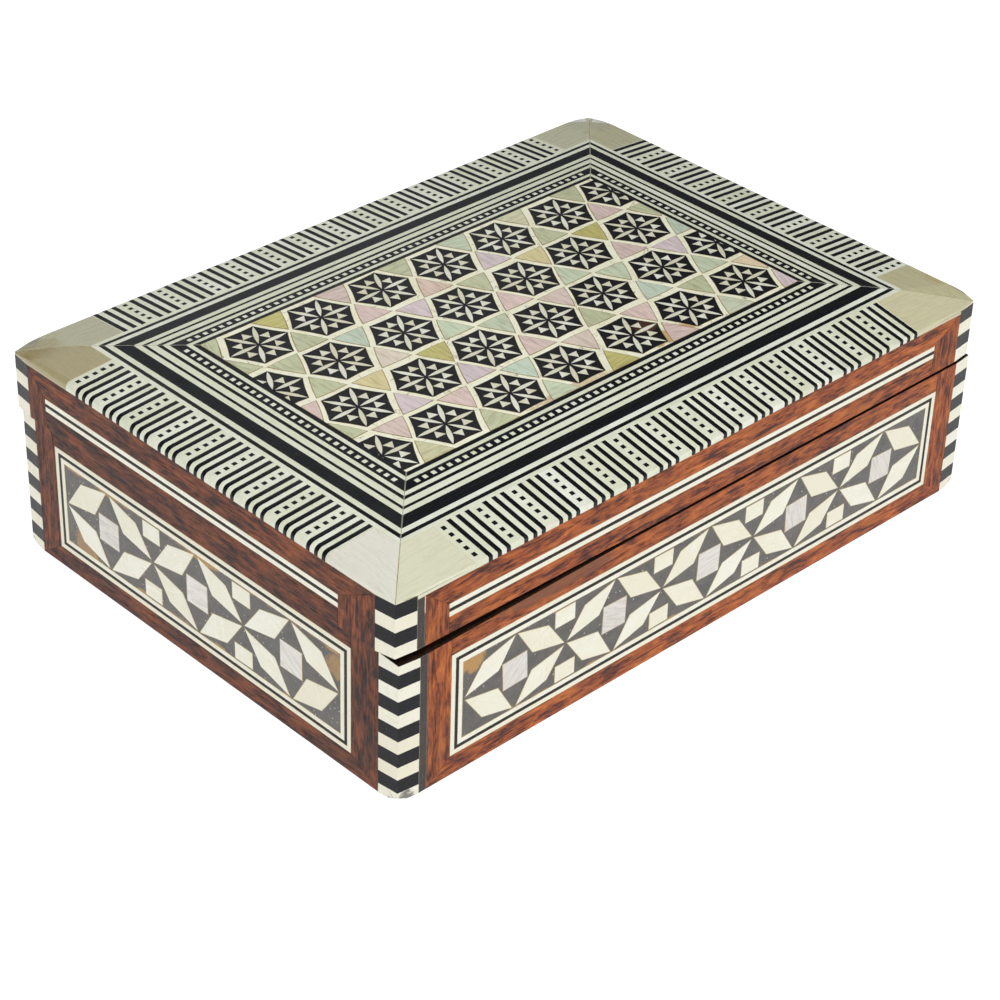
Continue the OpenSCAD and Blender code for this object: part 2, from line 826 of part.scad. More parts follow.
module mosaic_ground() {
    color("cornsilk") mosaic_layer() difference() {
        square([2 * field_x, 2 * field_y], center = true);
        in_stars() star_outline();
        shell_outlines();
    }
}

// ---- velvet lining

module lining_walls(z0, z1) {
    x = box_len / 2 - inner;
    y = box_dep / 2 - inner;
    for (s = [0, 1]) {
        mirror([0, s, 0]) translate([-x, -y, z0]) cube([2 * x, velvet_t, z1 - z0]);
        mirror([s, 0, 0]) translate([-x, -y + velvet_t + glue, z0])
            cube([velvet_t, 2 * (y - velvet_t - glue), z1 - z0]);
    }
}

module pad(z0) {
    x = box_len / 2 - inner - velvet_t - glue;
    y = box_dep / 2 - inner - velvet_t - glue;
    translate([-x, -y, z0]) cube([2 * x, 2 * y, pad_t]);
}

lining_in = 0.6;

module base_lining_walls() {
    color("darkred") lining_walls(felt_t + floor_t, base_top - lining_in);
}

module base_lining_floor() { color("darkred") pad(felt_t + floor_t); }

module lid_lining_walls() {
    color("darkred") lid_set() lining_walls(lid_bottom + lining_in, board_z);
}

module lid_lining_pad() { color("darkred") lid_set() pad(board_z - pad_t); }

// ---- hinges

leaf_w = 4.6;
axis_y = box_dep / 2 + knuckle_r + 0.15;
leaf_low = seam_z - leaf_gap / 2 - leaf_t;
leaf_high = seam_z + leaf_gap / 2 + leaf_t;
knuckles = 3;
knuckle_l = hinge_l / knuckles;
screw_r = 0.65;
head_r = 1.15;
screw_x = 4.6;
screw_y = -2.6;

// One leaf with its share of the knuckles; z0 is the leaf's lower face, own its knuckles
module leaf(z0, own, head_up) {
    back = box_dep / 2;
    difference() {
        union() {
            translate([-hinge_l / 2, back - leaf_w, z0])
                cube([hinge_l, leaf_w + 0.05, leaf_t]);
            for (k = own) translate([-hinge_l / 2 + k * knuckle_l + glue, 0, 0]) {
                translate([0, back - 1, z0]) cube([knuckle_l - 2 * glue, axis_y - back + 1, leaf_t]);
                translate([0, axis_y, seam_z]) rotate([0, 90, 0])
                    cylinder(r = knuckle_r, h = knuckle_l - 2 * glue, $fn = bore_fn);
            }
        }
        translate([-hinge_l, axis_y, seam_z]) rotate([0, 90, 0])
            cylinder(r = pin_r + gap_fit, h = 2 * hinge_l, $fn = bore_fn);
        for (s = [-1, 1]) translate([s * screw_x, back + screw_y, z0])
            screw_shape(head_up, gap_fit);
    }
}

// Countersunk screw whose head fills the leaf from z = 0 to leaf_t; e makes it larger
module screw_shape(head_up, e = 0) {
    r_low = (head_up ? screw_r : head_r) + e;
    r_high = (head_up ? head_r : screw_r) + e;
    cylinder(r1 = r_low, r2 = r_high, h = leaf_t, $fn = bore_fn);
    translate([0, 0, head_up ? -screw_l + 0.5 : leaf_t - eps])
        cylinder(r = screw_r + e, h = screw_l - 0.5 + eps, $fn = bore_fn);
}

module at_hinges() {
    for (s = [-1, 1]) translate([s * hinge_x, 0, 0]) children();
}

module base_hinge_leaves() {
    color("goldenrod") at_hinges() leaf(leaf_low, [0, 2], true);
}

module lid_hinge_leaves() {
    color("goldenrod") at_hinges() leaf(leaf_high - leaf_t, [1], false);
}

// A pin with a small head at each end
module hinge_pins() {
    head = 0.4;
    color("darkgoldenrod") at_hinges() translate([0, axis_y, seam_z]) rotate([0, 90, 0]) {
        cylinder(r = pin_r, h = hinge_l + head, center = true, $fn = bore_fn);
        for (s = [-1, 1]) translate([0, 0, s * (hinge_l / 2 + head / 2 + 0.02)])
            cylinder(r = pin_r + 0.35, h = head, center = true, $fn = bore_fn);
    }
}

slot_w = 0.3;
slot_deep = 0.3;

module hinge_screws(z0, head_up) {
    at_hinges() for (s = [-1, 1])
        translate([s * screw_x, box_dep / 2 + screw_y, z0]) difference() {
            screw_shape(head_up);
            rotate(20 + 50 * s) translate([-head_r, -slot_w / 2,
                    head_up ? leaf_t - slot_deep : -cut])
                cube([2 * head_r, slot_w, slot_deep + (head_up ? 0 : cut)]);
        }
}

module base_hinge_screws() { color("gold") hinge_screws(leaf_low, true); }
module lid_hinge_screws() { color("gold") hinge_screws(leaf_high - leaf_t, false); }

underside_felt();
base_floor();
base_front_wall();
base_right_wall();
base_back_wall();
base_left_wall();
base_front_frame();
base_right_frame();
base_back_frame();
base_left_frame();
base_white_lines();
base_black_lines();
base_panel_grounds();
base_bone_lozenges();
base_bone_tabs();
base_pearl_squares();
base_column_ebony();
base_column_bone();
base_edge_filler();
base_lining_walls();
base_lining_floor();
base_hinge_leaves();
hinge_pins();
base_hinge_screws();
lid_top_board();
lid_front_wall();
lid_right_wall();
lid_back_wall();
lid_left_wall();
lid_front_frame();
lid_right_frame();
lid_back_frame();
lid_left_frame();
lid_white_lines();
lid_black_lines();
lid_column_ebony();
lid_column_bone();
lid_edge_filler();
border_bone();
border_ebony_bars();
border_ebony_dots();
border_corner_shells();
top_white_lines();
top_black_lines();
top_black_band();
checker_band();
checker_squares();
mosaic_ground();
star_tiles();
star_slivers();
star_points();
shell_triangles();
lid_lining_walls();
lid_lining_pad();
lid_hinge_leaves();
lid_hinge_screws();
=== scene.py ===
import json
import math
import random

import bpy
import numpy as np
from mathutils import Matrix, Vector
from mathutils.bvhtree import BVHTree

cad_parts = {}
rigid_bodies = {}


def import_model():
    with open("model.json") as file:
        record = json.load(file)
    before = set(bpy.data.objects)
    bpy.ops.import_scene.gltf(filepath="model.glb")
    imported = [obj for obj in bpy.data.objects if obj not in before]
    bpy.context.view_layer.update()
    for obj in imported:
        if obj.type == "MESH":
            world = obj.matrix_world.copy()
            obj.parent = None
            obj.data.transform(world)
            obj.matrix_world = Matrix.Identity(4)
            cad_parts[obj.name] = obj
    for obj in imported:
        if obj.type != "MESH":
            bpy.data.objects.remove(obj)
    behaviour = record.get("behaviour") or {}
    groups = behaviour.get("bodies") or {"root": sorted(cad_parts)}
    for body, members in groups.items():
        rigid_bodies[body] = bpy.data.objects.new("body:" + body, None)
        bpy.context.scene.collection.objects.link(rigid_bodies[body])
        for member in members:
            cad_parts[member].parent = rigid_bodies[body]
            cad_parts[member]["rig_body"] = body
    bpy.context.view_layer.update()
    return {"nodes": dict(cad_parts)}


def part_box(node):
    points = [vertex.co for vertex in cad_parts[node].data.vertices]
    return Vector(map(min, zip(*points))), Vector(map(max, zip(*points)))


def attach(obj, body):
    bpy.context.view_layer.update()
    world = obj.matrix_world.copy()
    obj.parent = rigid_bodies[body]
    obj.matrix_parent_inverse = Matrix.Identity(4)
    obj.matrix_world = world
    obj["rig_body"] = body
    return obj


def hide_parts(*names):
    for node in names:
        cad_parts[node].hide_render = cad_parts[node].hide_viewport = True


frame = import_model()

mm = 0.001
picks = random.Random(11)

# the closed box as the maker measures it, in millimetres
boxSize = {"halfLength": 80.0, "halfDepth": 56.0, "cornerCut": 5.2, "sideTop": 44.4,
           "ridge": 0.55, "lidOff": 0.9}


def deselectAll():
    if bpy.context.object and bpy.context.object.mode != "OBJECT":
        bpy.ops.object.mode_set(mode="OBJECT")
    bpy.ops.object.select_all(action="DESELECT")


def takeUp(piece):
    deselectAll()
    piece.select_set(True)
    bpy.context.view_layer.objects.active = piece


def editOf(piece, kind="FACE"):
    takeUp(piece)
    bpy.ops.object.mode_set(mode="EDIT")
    bpy.ops.mesh.select_mode(type=kind)
    bpy.ops.mesh.select_all(action="DESELECT")


def backToObject():
    bpy.ops.object.mode_set(mode="OBJECT")


def pickFaces(piece, rule):
    # selects the faces that the rule says yes to; called between edit modes
    backToObject()
    for face in piece.data.polygons:
        face.select = bool(rule(face))
    bpy.ops.object.mode_set(mode="EDIT")


def paint(red, green, blue):
    # a colour as a paint chart gives it, 0 to 255, made linear for the shader
    def linear(value):
        value /= 255
        return value / 12.92 if value <= 0.04045 else ((value + 0.055) / 1.055) ** 2.4
    return (linear(red), linear(green), linear(blue), 1.0)


def addNode(tree, kind, settings=None, **sockets):
    node = tree.nodes.new("ShaderNode" + kind)
    for key, value in (settings or {}).items():
        setattr(node, key, value)
    for key, value in sockets.items():
        feed(tree, node.inputs[key.replace("_", " ")], value)
    return node


def feed(tree, socket, value):
    if isinstance(value, bpy.types.NodeSocket):
        tree.links.new(value, socket)
    else:
        socket.default_value = value


def doMath(tree, what, first, second=0.0, third=0.0, clamp=False):
    node = tree.nodes.new("ShaderNodeMath")
    node.operation = what
    node.use_clamp = clamp
    for socket, value in zip(node.inputs, (first, second, third)):
        feed(tree, socket, value)
    return node.outputs[0]


def mixColours(tree, factor, first, second, blend="MIX"):
    node = tree.nodes.new("ShaderNodeMix")
    node.data_type = "RGBA"
    node.blend_type = blend
    feed(tree, node.inputs[0], factor)
    feed(tree, node.inputs[6], first)
    feed(tree, node.inputs[7], second)
    return node.outputs[2]


def ramp(tree, value, *stops):
    node = tree.nodes.new("ShaderNodeValToRGB")
    while len(node.color_ramp.elements) < len(stops):
        node.color_ramp.elements.new(0.5)
    for element, (place, shade) in zip(node.color_ramp.elements, stops):
        element.position = place
        element.color = shade if hasattr(shade, "__len__") else (shade, shade, shade, 1)
    feed(tree, node.inputs[0], value)
    return node.outputs[0]


def stretched(tree, vector, along, across, deep, turn=0.0):
    node = tree.nodes.new("ShaderNodeMapping")
    node.inputs["Scale"].default_value = (along, across, deep)
    node.inputs["Rotation"].default_value = (0, 0, turn)
    tree.links.new(vector, node.inputs["Vector"])
    return node.outputs[0]


def noise(tree, vector, scale, detail=3.0, rough=0.55, bend=0.0):
    return addNode(tree, "TexNoise", Vector=vector, Scale=scale, Detail=detail,
                   Roughness=rough, Distortion=bend).outputs[0]


def newGroup(name, inputs, outputs):
    # inputs and outputs: name -> (socket kind, value or None)
    tree = bpy.data.node_groups.new(name, "ShaderNodeTree")
    for direction, table in (("INPUT", inputs), ("OUTPUT", outputs)):
        for label, (kind, value) in table.items():
            socket = tree.interface.new_socket(name=label, in_out=direction,
                                               socket_type="NodeSocket" + kind)
            if value is not None:
                socket.default_value = value
    gives = tree.nodes.new("NodeGroupInput").outputs
    takes = tree.nodes.new("NodeGroupOutput").inputs
    return tree, gives, takes


def placeGroup(tree, group, **sockets):
    node = tree.nodes.new("ShaderNodeGroup")
    node.node_tree = group
    for key, value in sockets.items():
        feed(tree, node.inputs[key.replace("_", " ")], value)
    return node


def makeLacquer():
    # brushed lacquer: slow waves, fine pits and a little dust in the shine
    tree, gives, takes = newGroup(
        "brushed lacquer",
        {"Vector": ("Vector", None), "Waves": ("Float", 1.0), "Pits": ("Float", 0.3),
         "Gloss": ("Float", 0.16)},
        {"Height": ("Float", None), "Roughness": ("Float", None)})
    slow = noise(tree, gives["Vector"], 95, 2, 0.5)
    small = noise(tree, gives["Vector"], 520, 3, 0.6)
    pitted = ramp(tree, noise(tree, gives["Vector"], 2600, 2, 0.6), (0.30, 0.0), (0.42, 1.0))
    height = doMath(tree, "MULTIPLY_ADD", small, 0.25, slow)
    height = doMath(tree, "MULTIPLY", height, gives["Waves"])
    height = doMath(tree, "MULTIPLY_ADD", pitted, gives["Pits"], height)
    tree.links.new(height, takes["Height"])
    smear = noise(tree, gives["Vector"], 60, 5, 0.65, 0.6)
    rough = doMath(tree, "MULTIPLY_ADD", smear, 0.22, -0.11)
    rough = doMath(tree, "ADD", rough, gives["Gloss"], clamp=True)
    tree.links.new(rough, takes["Roughness"])
    return tree


def makeStain():
    # ragged patch of colour round a point, for old glue and varnish
    tree, gives, takes = newGroup(
        "ragged patch",
        {"Vector": ("Vector", None), "Centre": ("Vector", None), "Reach": ("Float", 0.006),
         "Ragged": ("Float", 0.5), "Squash": ("Vector", (1, 1, 1))},
        {"Mask": ("Float", None)})
    away = addNode(tree, "VectorMath", {"operation": "SUBTRACT"})
    tree.links.new(gives["Vector"], away.inputs[0])
    tree.links.new(gives["Centre"], away.inputs[1])
    scaled = addNode(tree, "VectorMath", {"operation": "MULTIPLY"})
    tree.links.new(away.outputs[0], scaled.inputs[0])
    tree.links.new(gives["Squash"], scaled.inputs[1])
    length = addNode(tree, "VectorMath", {"operation": "LENGTH"})
    tree.links.new(scaled.outputs[0], length.inputs[0])
    share = doMath(tree, "DIVIDE", length.outputs["Value"], gives["Reach"])
    rag = doMath(tree, "SUBTRACT", noise(tree, gives["Vector"], 420, 4, 0.7), 0.5)
    rag = doMath(tree, "MULTIPLY", rag, gives["Ragged"])
    share = doMath(tree, "MULTIPLY_ADD", rag, 2.4, share)
    mask = addNode(tree, "MapRange", {"interpolation_type": "SMOOTHSTEP"}, Value=share,
                   From_Min=1.08, From_Max=0.72, To_Min=0.0, To_Max=1.0)
    tree.links.new(mask.outputs[0], takes["Mask"])
    return tree


def makeWoodGrain():
    # figured wood: dark wavering lines, fibres and short dark pores; grain runs along X
    tree, gives, takes = newGroup(
        "figured wood grain",
        {"Vector": ("Vector", None), "Light": ("Color", (1, 1, 1, 1)),
         "Middle": ("Color", (1, 1, 1, 1)), "Dark": ("Color", (0, 0, 0, 1)),
         "Figure": ("Float", 0.5), "Pores": ("Float", 0.8)},
        {"Color": ("Color", None), "Height": ("Float", None), "Roughness": ("Float", None)})
    vector = gives["Vector"]
    broad = noise(tree, stretched(tree, vector, 0.3, 1, 1, 0.05), 210, 4, 0.6, 1.2)
    streaks = noise(tree, stretched(tree, vector, 0.16, 1, 1, 0.05), 760, 5, 0.62, 1.1)
    slant = noise(tree, stretched(tree, vector, 0.42, 1, 1, 0.42), 560, 3, 0.6, 0.8)
    fibres = noise(tree, stretched(tree, vector, 0.05, 1, 1), 3600, 3, 0.65)
    tone = doMath(tree, "MULTIPLY_ADD", streaks, 0.55, doMath(tree, "MULTIPLY", broad, 0.25))
    tone = doMath(tree, "MULTIPLY_ADD", fibres, 0.20, tone)
    lean = doMath(tree, "MULTIPLY", doMath(tree, "SUBTRACT", slant, 0.5), gives["Figure"])
    tone = doMath(tree, "ADD", tone, lean)
    low = mixColours(tree, ramp(tree, tone, (0.40, 0.0), (0.485, 1.0)), gives["Dark"], gives["Middle"])
    colour = mixColours(tree, ramp(tree, tone, (0.48, 0.0), (0.60, 1.0)), low, gives["Light"])
    dashes = noise(tree, stretched(tree, vector, 0.10, 1, 1, 0.03), 2700, 2, 0.5, 0.3)
    where = ramp(tree, noise(tree, vector, 260, 2, 0.5), (0.35, 0.3), (0.65, 1.0))
    pores = doMath(tree, "MULTIPLY", ramp(tree, dashes, (0.57, 0.0), (0.66, 1.0)), where)
    pores = doMath(tree, "MULTIPLY", pores, gives["Pores"])
    colour = mixColours(tree, pores, colour, gives["Dark"])
    tree.links.new(colour, takes["Color"])
    height = doMath(tree, "MULTIPLY_ADD", pores, -0.8, doMath(tree, "MULTIPLY", fibres, 0.4))
    tree.links.new(height, takes["Height"])
    tree.links.new(doMath(tree, "MULTIPLY_ADD", pores, 0.3, 0.36), takes["Roughness"])
    return tree


def makeBoneBody():
    # bone or camel bone: cloudy body, fine channels along X, a few dark flecks
    tree, gives, takes = newGroup(
        "bone body",
        {"Vector": ("Vector", None), "Pale": ("Color", (1, 1, 1, 1)),
         "Warm": ("Color", (1, 1, 1, 1)), "Piece": ("Float", 0.5), "Flecks": ("Float", 0.5)},
        {"Color": ("Color", None), "Height": ("Float", None)})
    vector = gives["Vector"]
    cloud = noise(tree, vector, 170, 4, 0.6, 0.8)
    channels = noise(tree, stretched(tree, vector, 0.07, 1, 1), 2600, 3, 0.6)
    tone = doMath(tree, "MULTIPLY_ADD", channels, 0.5, doMath(tree, "MULTIPLY", cloud, 0.8))
    tone = doMath(tree, "MULTIPLY_ADD", gives["Piece"], 0.42, tone)
    colour = mixColours(tree, ramp(tree, tone, (0.45, 0.0), (1.15, 1.0)), gives["Pale"], gives["Warm"])
    dots = addNode(tree, "TexVoronoi", {"feature": "F1"}, Vector=stretched(tree, vector, 0.5, 1, 1),
                   Scale=1150.0).outputs["Distance"]
    dots = ramp(tree, dots, (0.07, 1.0), (0.13, 0.0))
    patch = ramp(tree, noise(tree, vector, 330, 2, 0.5), (0.50, 0.0), (0.64, 1.0))
    flecks = doMath(tree, "MULTIPLY", doMath(tree, "MULTIPLY", dots, patch), gives["Flecks"])
    colour = mixColours(tree, flecks, colour, paint(96, 78, 52))
    tree.links.new(colour, takes["Color"])
    tree.links.new(doMath(tree, "MULTIPLY_ADD", flecks, -0.7, doMath(tree, "MULTIPLY", channels, 0.25)),
                   takes["Height"])
    return tree


def makeShellBody():
    # mother-of-pearl: a tint that drifts to a second one, silky streaks and faint growth bands
    tree, gives, takes = newGroup(
        "shell body",
        {"Vector": ("Vector", None), "Tint": ("Color", (1, 1, 1, 1)),
         "Second": ("Color", (1, 1, 1, 1)), "Bands": ("Float", 0.5), "Drift": ("Float", 0.6)},
        {"Color": ("Color", None), "Height": ("Float", None), "Roughness": ("Float", None)})
    vector = gives["Vector"]
    across = addNode(tree, "SeparateXYZ", Vector=vector).outputs[1]
    drift = noise(tree, stretched(tree, vector, 0.6, 1.5, 1, 0.3), 150, 3, 0.5, 1.0)
    drift = doMath(tree, "MULTIPLY_ADD", across, 70.0, drift)
    drift = doMath(tree, "MULTIPLY", ramp(tree, drift, (0.32, 0.0), (0.70, 1.0)), gives["Drift"])
    colour = mixColours(tree, drift, gives["Tint"], gives["Second"])
    silk = noise(tree, stretched(tree, vector, 0.10, 1, 1, 0.25), 1500, 4, 0.6, 0.7)
    growth = noise(tree, stretched(tree, vector, 0.35, 1, 1, 0.25), 430, 3, 0.55, 1.6)
    light = doMath(tree, "MULTIPLY_ADD", growth, 0.55, doMath(tree, "MULTIPLY", silk, 0.45))
    shade = ramp(tree, light, (0.36, paint(176, 166, 150)), (0.50, paint(234, 230, 222)),
                 (0.64, paint(255, 255, 255)))
    colour = mixColours(tree, gives["Bands"], colour, shade, "MULTIPLY")
    tree.links.new(colour, takes["Color"])
    tree.links.new(light, takes["Height"])
    tree.links.new(doMath(tree, "MULTIPLY_ADD", silk, 0.16, 0.20), takes["Roughness"])
    return tree


def makeHairlines():
    # thin wandering lines, as where old filler has cracked or lifted
    tree, gives, takes = newGroup(
        "hair lines",
        {"Vector": ("Vector", None), "Spacing": ("Float", 260.0), "Width": ("Float", 0.012),
         "Amount": ("Float", 0.6)},
        {"Mask": ("Float", None)})
    field = addNode(tree, "TexNoise", Vector=gives["Vector"], Scale=gives["Spacing"], Detail=2.0,
                    Roughness=0.5, Distortion=0.8).outputs[0]
    away = doMath(tree, "ABSOLUTE", doMath(tree, "SUBTRACT", field, 0.5))
    line = doMath(tree, "SUBTRACT", 1.0, doMath(tree, "DIVIDE", away, gives["Width"]), clamp=True)
    where = ramp(tree, noise(tree, gives["Vector"], 170, 2, 0.5), (0.45, 0.0), (0.60, 1.0))
    line = doMath(tree, "MULTIPLY", doMath(tree, "MULTIPLY", line, where), gives["Amount"])
    tree.links.new(line, takes["Mask"])
    return tree


lacquer = makeLacquer()
raggedPatch = makeStain()
woodGrain = makeWoodGrain()
boneBody = makeBoneBody()
shellBody = makeShellBody()
hairLines = makeHairlines()
print("shared effects are ready")


def startFinish(name, coat=0.0, coatRoughness=0.05, sheen=0.0, shine=0.5):
    made = bpy.data.materials.new(name)
    made.use_nodes = True
    tree = made.node_tree
    surface = tree.nodes["Principled BSDF"]
    surface.inputs["Coat Weight"].default_value = coat
    surface.inputs["Coat Roughness"].default_value = coatRoughness
    surface.inputs["Sheen Weight"].default_value = sheen
    surface.inputs["Specular IOR Level"].default_value = shine
    place = tree.nodes.new("ShaderNodeTexCoord").outputs["Object"]
    return made, tree, surface, place


def ownValue(tree, name, what="Fac"):
    return addNode(tree, "Attribute", {"attribute_name": name}).outputs[what]


def finishWith(tree, surface, colour, height, depth, roughness):
    tree.links.new(colour, surface.inputs["Base Color"])
    feed(tree, surface.inputs["Roughness"], roughness)
    bump = addNode(tree, "Bump", Height=height, Strength=depth, Distance=mm)
    tree.links.new(bump.outputs[0], surface.inputs["Normal"])


# one red wood in two copies: front is the wood as lit on the long sides, left is the same wood made
# darker for the ends, painted shade
woodColours = {
    "front": (paint(204, 112, 42), paint(158, 74, 26), paint(72, 26, 12)),
    "left": (paint(150, 78, 36), paint(100, 46, 23), paint(40, 17, 11)),
    "carcass": (paint(132, 76, 42), paint(104, 56, 32), paint(62, 30, 20)),
}


def addPatches(tree, place, colour, patches, ragged):
    # patches: centre in mm, reach in mm, squash of the three axes, shade, strength
    for centre, reach, squash, shade, strength in patches:
        patch = placeGroup(tree, raggedPatch, Vector=place, Centre=[v * mm for v in centre],
                           Reach=reach * mm, Ragged=ragged, Squash=squash)
        colour = mixColours(tree, doMath(tree, "MULTIPLY", patch.outputs[0], strength), colour, shade)
    return colour


def makeWood(name, colours, figure, shine, patches=()):
    made, tree, surface, place = startFinish(name, coat=shine, coatRoughness=0.12, shine=0.2)
    light, middle, dark = colours
    grain = placeGroup(tree, woodGrain, Vector=ownValue(tree, "lay", "Vector"), Light=light,
                       Middle=middle, Dark=dark, Figure=figure, Pores=0.8)
    tone = doMath(tree, "MULTIPLY_ADD", ownValue(tree, "piece"), 0.28, 0.80)
    colour = mixColours(tree, 1.0, grain.outputs["Color"], tone, "MULTIPLY")
    grime = ramp(tree, noise(tree, place, 60, 4, 0.6, 0.5), (0.35, 0.78), (0.60, 1.0))
    colour = mixColours(tree, 1.0, colour, grime, "MULTIPLY")
    colour = addPatches(tree, place, colour, patches, 0.35)
    skin = placeGroup(tree, lacquer, Vector=place, Waves=0.5, Pits=0.1, Gloss=0.2)
    height = doMath(tree, "MULTIPLY_ADD", grain.outputs["Height"], 0.7, skin.outputs["Height"])
    rough = doMath(tree, "MULTIPLY_ADD", skin.outputs["Roughness"], 0.5, grain.outputs["Roughness"])
    finishWith(tree, surface, colour, height, 0.3, rough)
    return made


def makeBone(name, pale, warm, flecks, patches=(), shine=0.3):
    made, tree, surface, place = startFinish(name, coat=shine, coatRoughness=0.09, shine=0.4)
    body = placeGroup(tree, boneBody, Vector=ownValue(tree, "lay", "Vector"), Pale=pale, Warm=warm,
                      Piece=ownValue(tree, "piece"), Flecks=flecks)
    colour = addPatches(tree, place, body.outputs["Color"], patches, 0.6)
    skin = placeGroup(tree, lacquer, Vector=place, Waves=0.7, Pits=0.25, Gloss=0.26)
    height = doMath(tree, "MULTIPLY_ADD", body.outputs["Height"], 0.4, skin.outputs["Height"])
    finishWith(tree, surface, colour, height, 0.22, skin.outputs["Roughness"])
    return made


def mitreMask(tree, place, width):
    # 1 on the thin cream line where two runs meet at a corner of the lid
    split = addNode(tree, "SeparateXYZ", Vector=place)
    along = doMath(tree, "ABSOLUTE", doMath(tree, "ADD", split.outputs[0], boxSize["lidOff"] * mm))
    across = doMath(tree, "ABSOLUTE", split.outputs[1])
    off = doMath(tree, "SUBTRACT", along, across)
    off = doMath(tree, "SUBTRACT", off, (boxSize["halfLength"] - boxSize["halfDepth"]) * mm)
    near = doMath(tree, "DIVIDE", doMath(tree, "ABSOLUTE", off), width * mm)
    return doMath(tree, "MULTIPLY", doMath(tree, "SUBTRACT", 1.25, near, clamp=True), 0.9)


def makeEbony(name, body, grey, coat=0.07, flecks=0.35, mitre=0.0, patches=()):
    made, tree, surface, place = startFinish(name, coat=coat, coatRoughness=0.08, shine=0.14)
    fibres = noise(tree, stretched(tree, ownValue(tree, "lay", "Vector"), 0.05, 1, 1), 2600, 4, 0.65)
    colour = mixColours(tree, ramp(tree, fibres, (0.42, 0.0), (0.78, 1.0)), body, grey)
    specks = addNode(tree, "TexVoronoi", Vector=place, Scale=900.0).outputs["Distance"]
    few = ramp(tree, noise(tree, place, 300, 2, 0.5), (0.55, 0.0), (0.68, flecks))
    specks = doMath(tree, "MULTIPLY", ramp(tree, specks, (0.05, 1.0), (0.10, 0.0)), few)
    colour = mixColours(tree, specks, colour, paint(168, 166, 158))
    if mitre:
        colour = mixColours(tree, mitreMask(tree, place, mitre), colour, paint(214, 212, 190))
    colour = addPatches(tree, place, colour, patches, 0.6)
    skin = placeGroup(tree, lacquer, Vector=place, Waves=0.8, Pits=0.12, Gloss=0.24)
    finishWith(tree, surface, colour, skin.outputs["Height"], 0.2, skin.outputs["Roughness"])
    return made


def makeResin(name, body, second, specks, lines, lineShade, patches=(), shine=0.3, edges=None):
    # filled paste between the inlay: clouds, grit, hair lines and old varnish showing amber
    made, tree, surface, place = startFinish(name, coat=shine, coatRoughness=0.08, shine=0.35)
    cloud = noise(tree, place, 230, 5, 0.65, 0.6)
    colour = mixColours(tree, ramp(tree, cloud, (0.34, 0.0), (0.68, 1.0)), body, second)
    fine = noise(tree, place, 3100, 3, 0.7)
    colour = mixColours(tree, ramp(tree, fine, (0.52, 0.0), (0.74, 0.5)), colour, second)
    dots = addNode(tree, "TexVoronoi", Vector=place, Scale=1000.0, Randomness=1.0)
    keep = ramp(tree, addNode(tree, "SeparateColor", Color=dots.outputs["Color"]).outputs[0],
                (0.80, 0.0), (0.82, 1.0))
    grit = doMath(tree, "MULTIPLY", ramp(tree, dots.outputs["Distance"], (0.10, 1.0), (0.17, 0.0)), keep)
    colour = mixColours(tree, doMath(tree, "MULTIPLY", grit, specks), colour, paint(222, 218, 204))
    hairs = placeGroup(tree, hairLines, Vector=place, Amount=lines)
    colour = mixColours(tree, hairs.outputs[0], colour, lineShade)
    if edges:
        # old varnish gathers along the upper and lower edge of the panels
        middle, half, shade = edges
        height = addNode(tree, "SeparateXYZ", Vector=place).outputs[2]
        away = doMath(tree, "ABSOLUTE", doMath(tree, "SUBTRACT", height, middle * mm))
        rag = doMath(tree, "MULTIPLY", noise(tree, place, 130, 4, 0.6), 4.4 * mm)
        edge = doMath(tree, "SUBTRACT", doMath(tree, "ADD", away, rag), (half + 1.55) * mm)
        edge = doMath(tree, "DIVIDE", edge, 0.5 * mm, clamp=True)
        colour = mixColours(tree, doMath(tree, "MULTIPLY", edge, 0.85), colour, shade)
    colour = addPatches(tree, place, colour, patches, 0.7)
    skin = placeGroup(tree, lacquer, Vector=place, Waves=1.0, Pits=0.5, Gloss=0.26)
    height = doMath(tree, "MULTIPLY_ADD", hairs.outputs[0], -0.6, skin.outputs["Height"])
    finishWith(tree, surface, colour, height, 0.3, skin.outputs["Roughness"])
    return made


def makeShell(name, tint, second, bands, drift, lines=0.0, patches=(), shine=0.4):
    made, tree, surface, place = startFinish(name, coat=shine, coatRoughness=0.07, shine=0.45)
    own = ownValue(tree, "tint", "Color") if tint is None else tint
    other = ownValue(tree, "secondTint", "Color") if second is None else second
    body = placeGroup(tree, shellBody, Vector=ownValue(tree, "lay", "Vector"), Tint=own,
                      Second=other, Bands=bands, Drift=drift)
    tone = doMath(tree, "MULTIPLY_ADD", ownValue(tree, "piece"), 0.10, 0.92)
    colour = mixColours(tree, 1.0, body.outputs["Color"], tone, "MULTIPLY")
    if lines:
        hairs = placeGroup(tree, hairLines, Vector=place, Spacing=120.0, Width=0.005, Amount=lines)
        colour = mixColours(tree, hairs.outputs[0], colour, paint(150, 138, 104))
    colour = addPatches(tree, place, colour, patches, 0.6)
    skin = placeGroup(tree, lacquer, Vector=place, Waves=0.8, Pits=0.15, Gloss=0.1)
    height = doMath(tree, "MULTIPLY_ADD", body.outputs["Height"], 0.12, skin.outputs["Height"])
    finishWith(tree, surface, colour, height, 0.2, body.outputs["Roughness"])
    return made


def makeBrass(name, bright, dull):
    made, tree, surface, place = startFinish(name)
    surface.inputs["Metallic"].default_value = 1.0
    cloud = noise(tree, place, 500, 5, 0.65, 0.8)
    colour = mixColours(tree, ramp(tree, cloud, (0.38, 0.0), (0.66, 1.0)), bright, dull)
    drawn = noise(tree, stretched(tree, place, 0.03, 1, 1), 9000, 2, 0.6)
    rough = doMath(tree, "MULTIPLY_ADD", cloud, 0.35, 0.12)
    rough = doMath(tree, "MULTIPLY_ADD", drawn, 0.12, rough)
    finishWith(tree, surface, colour, drawn, 0.12, rough)
    return made


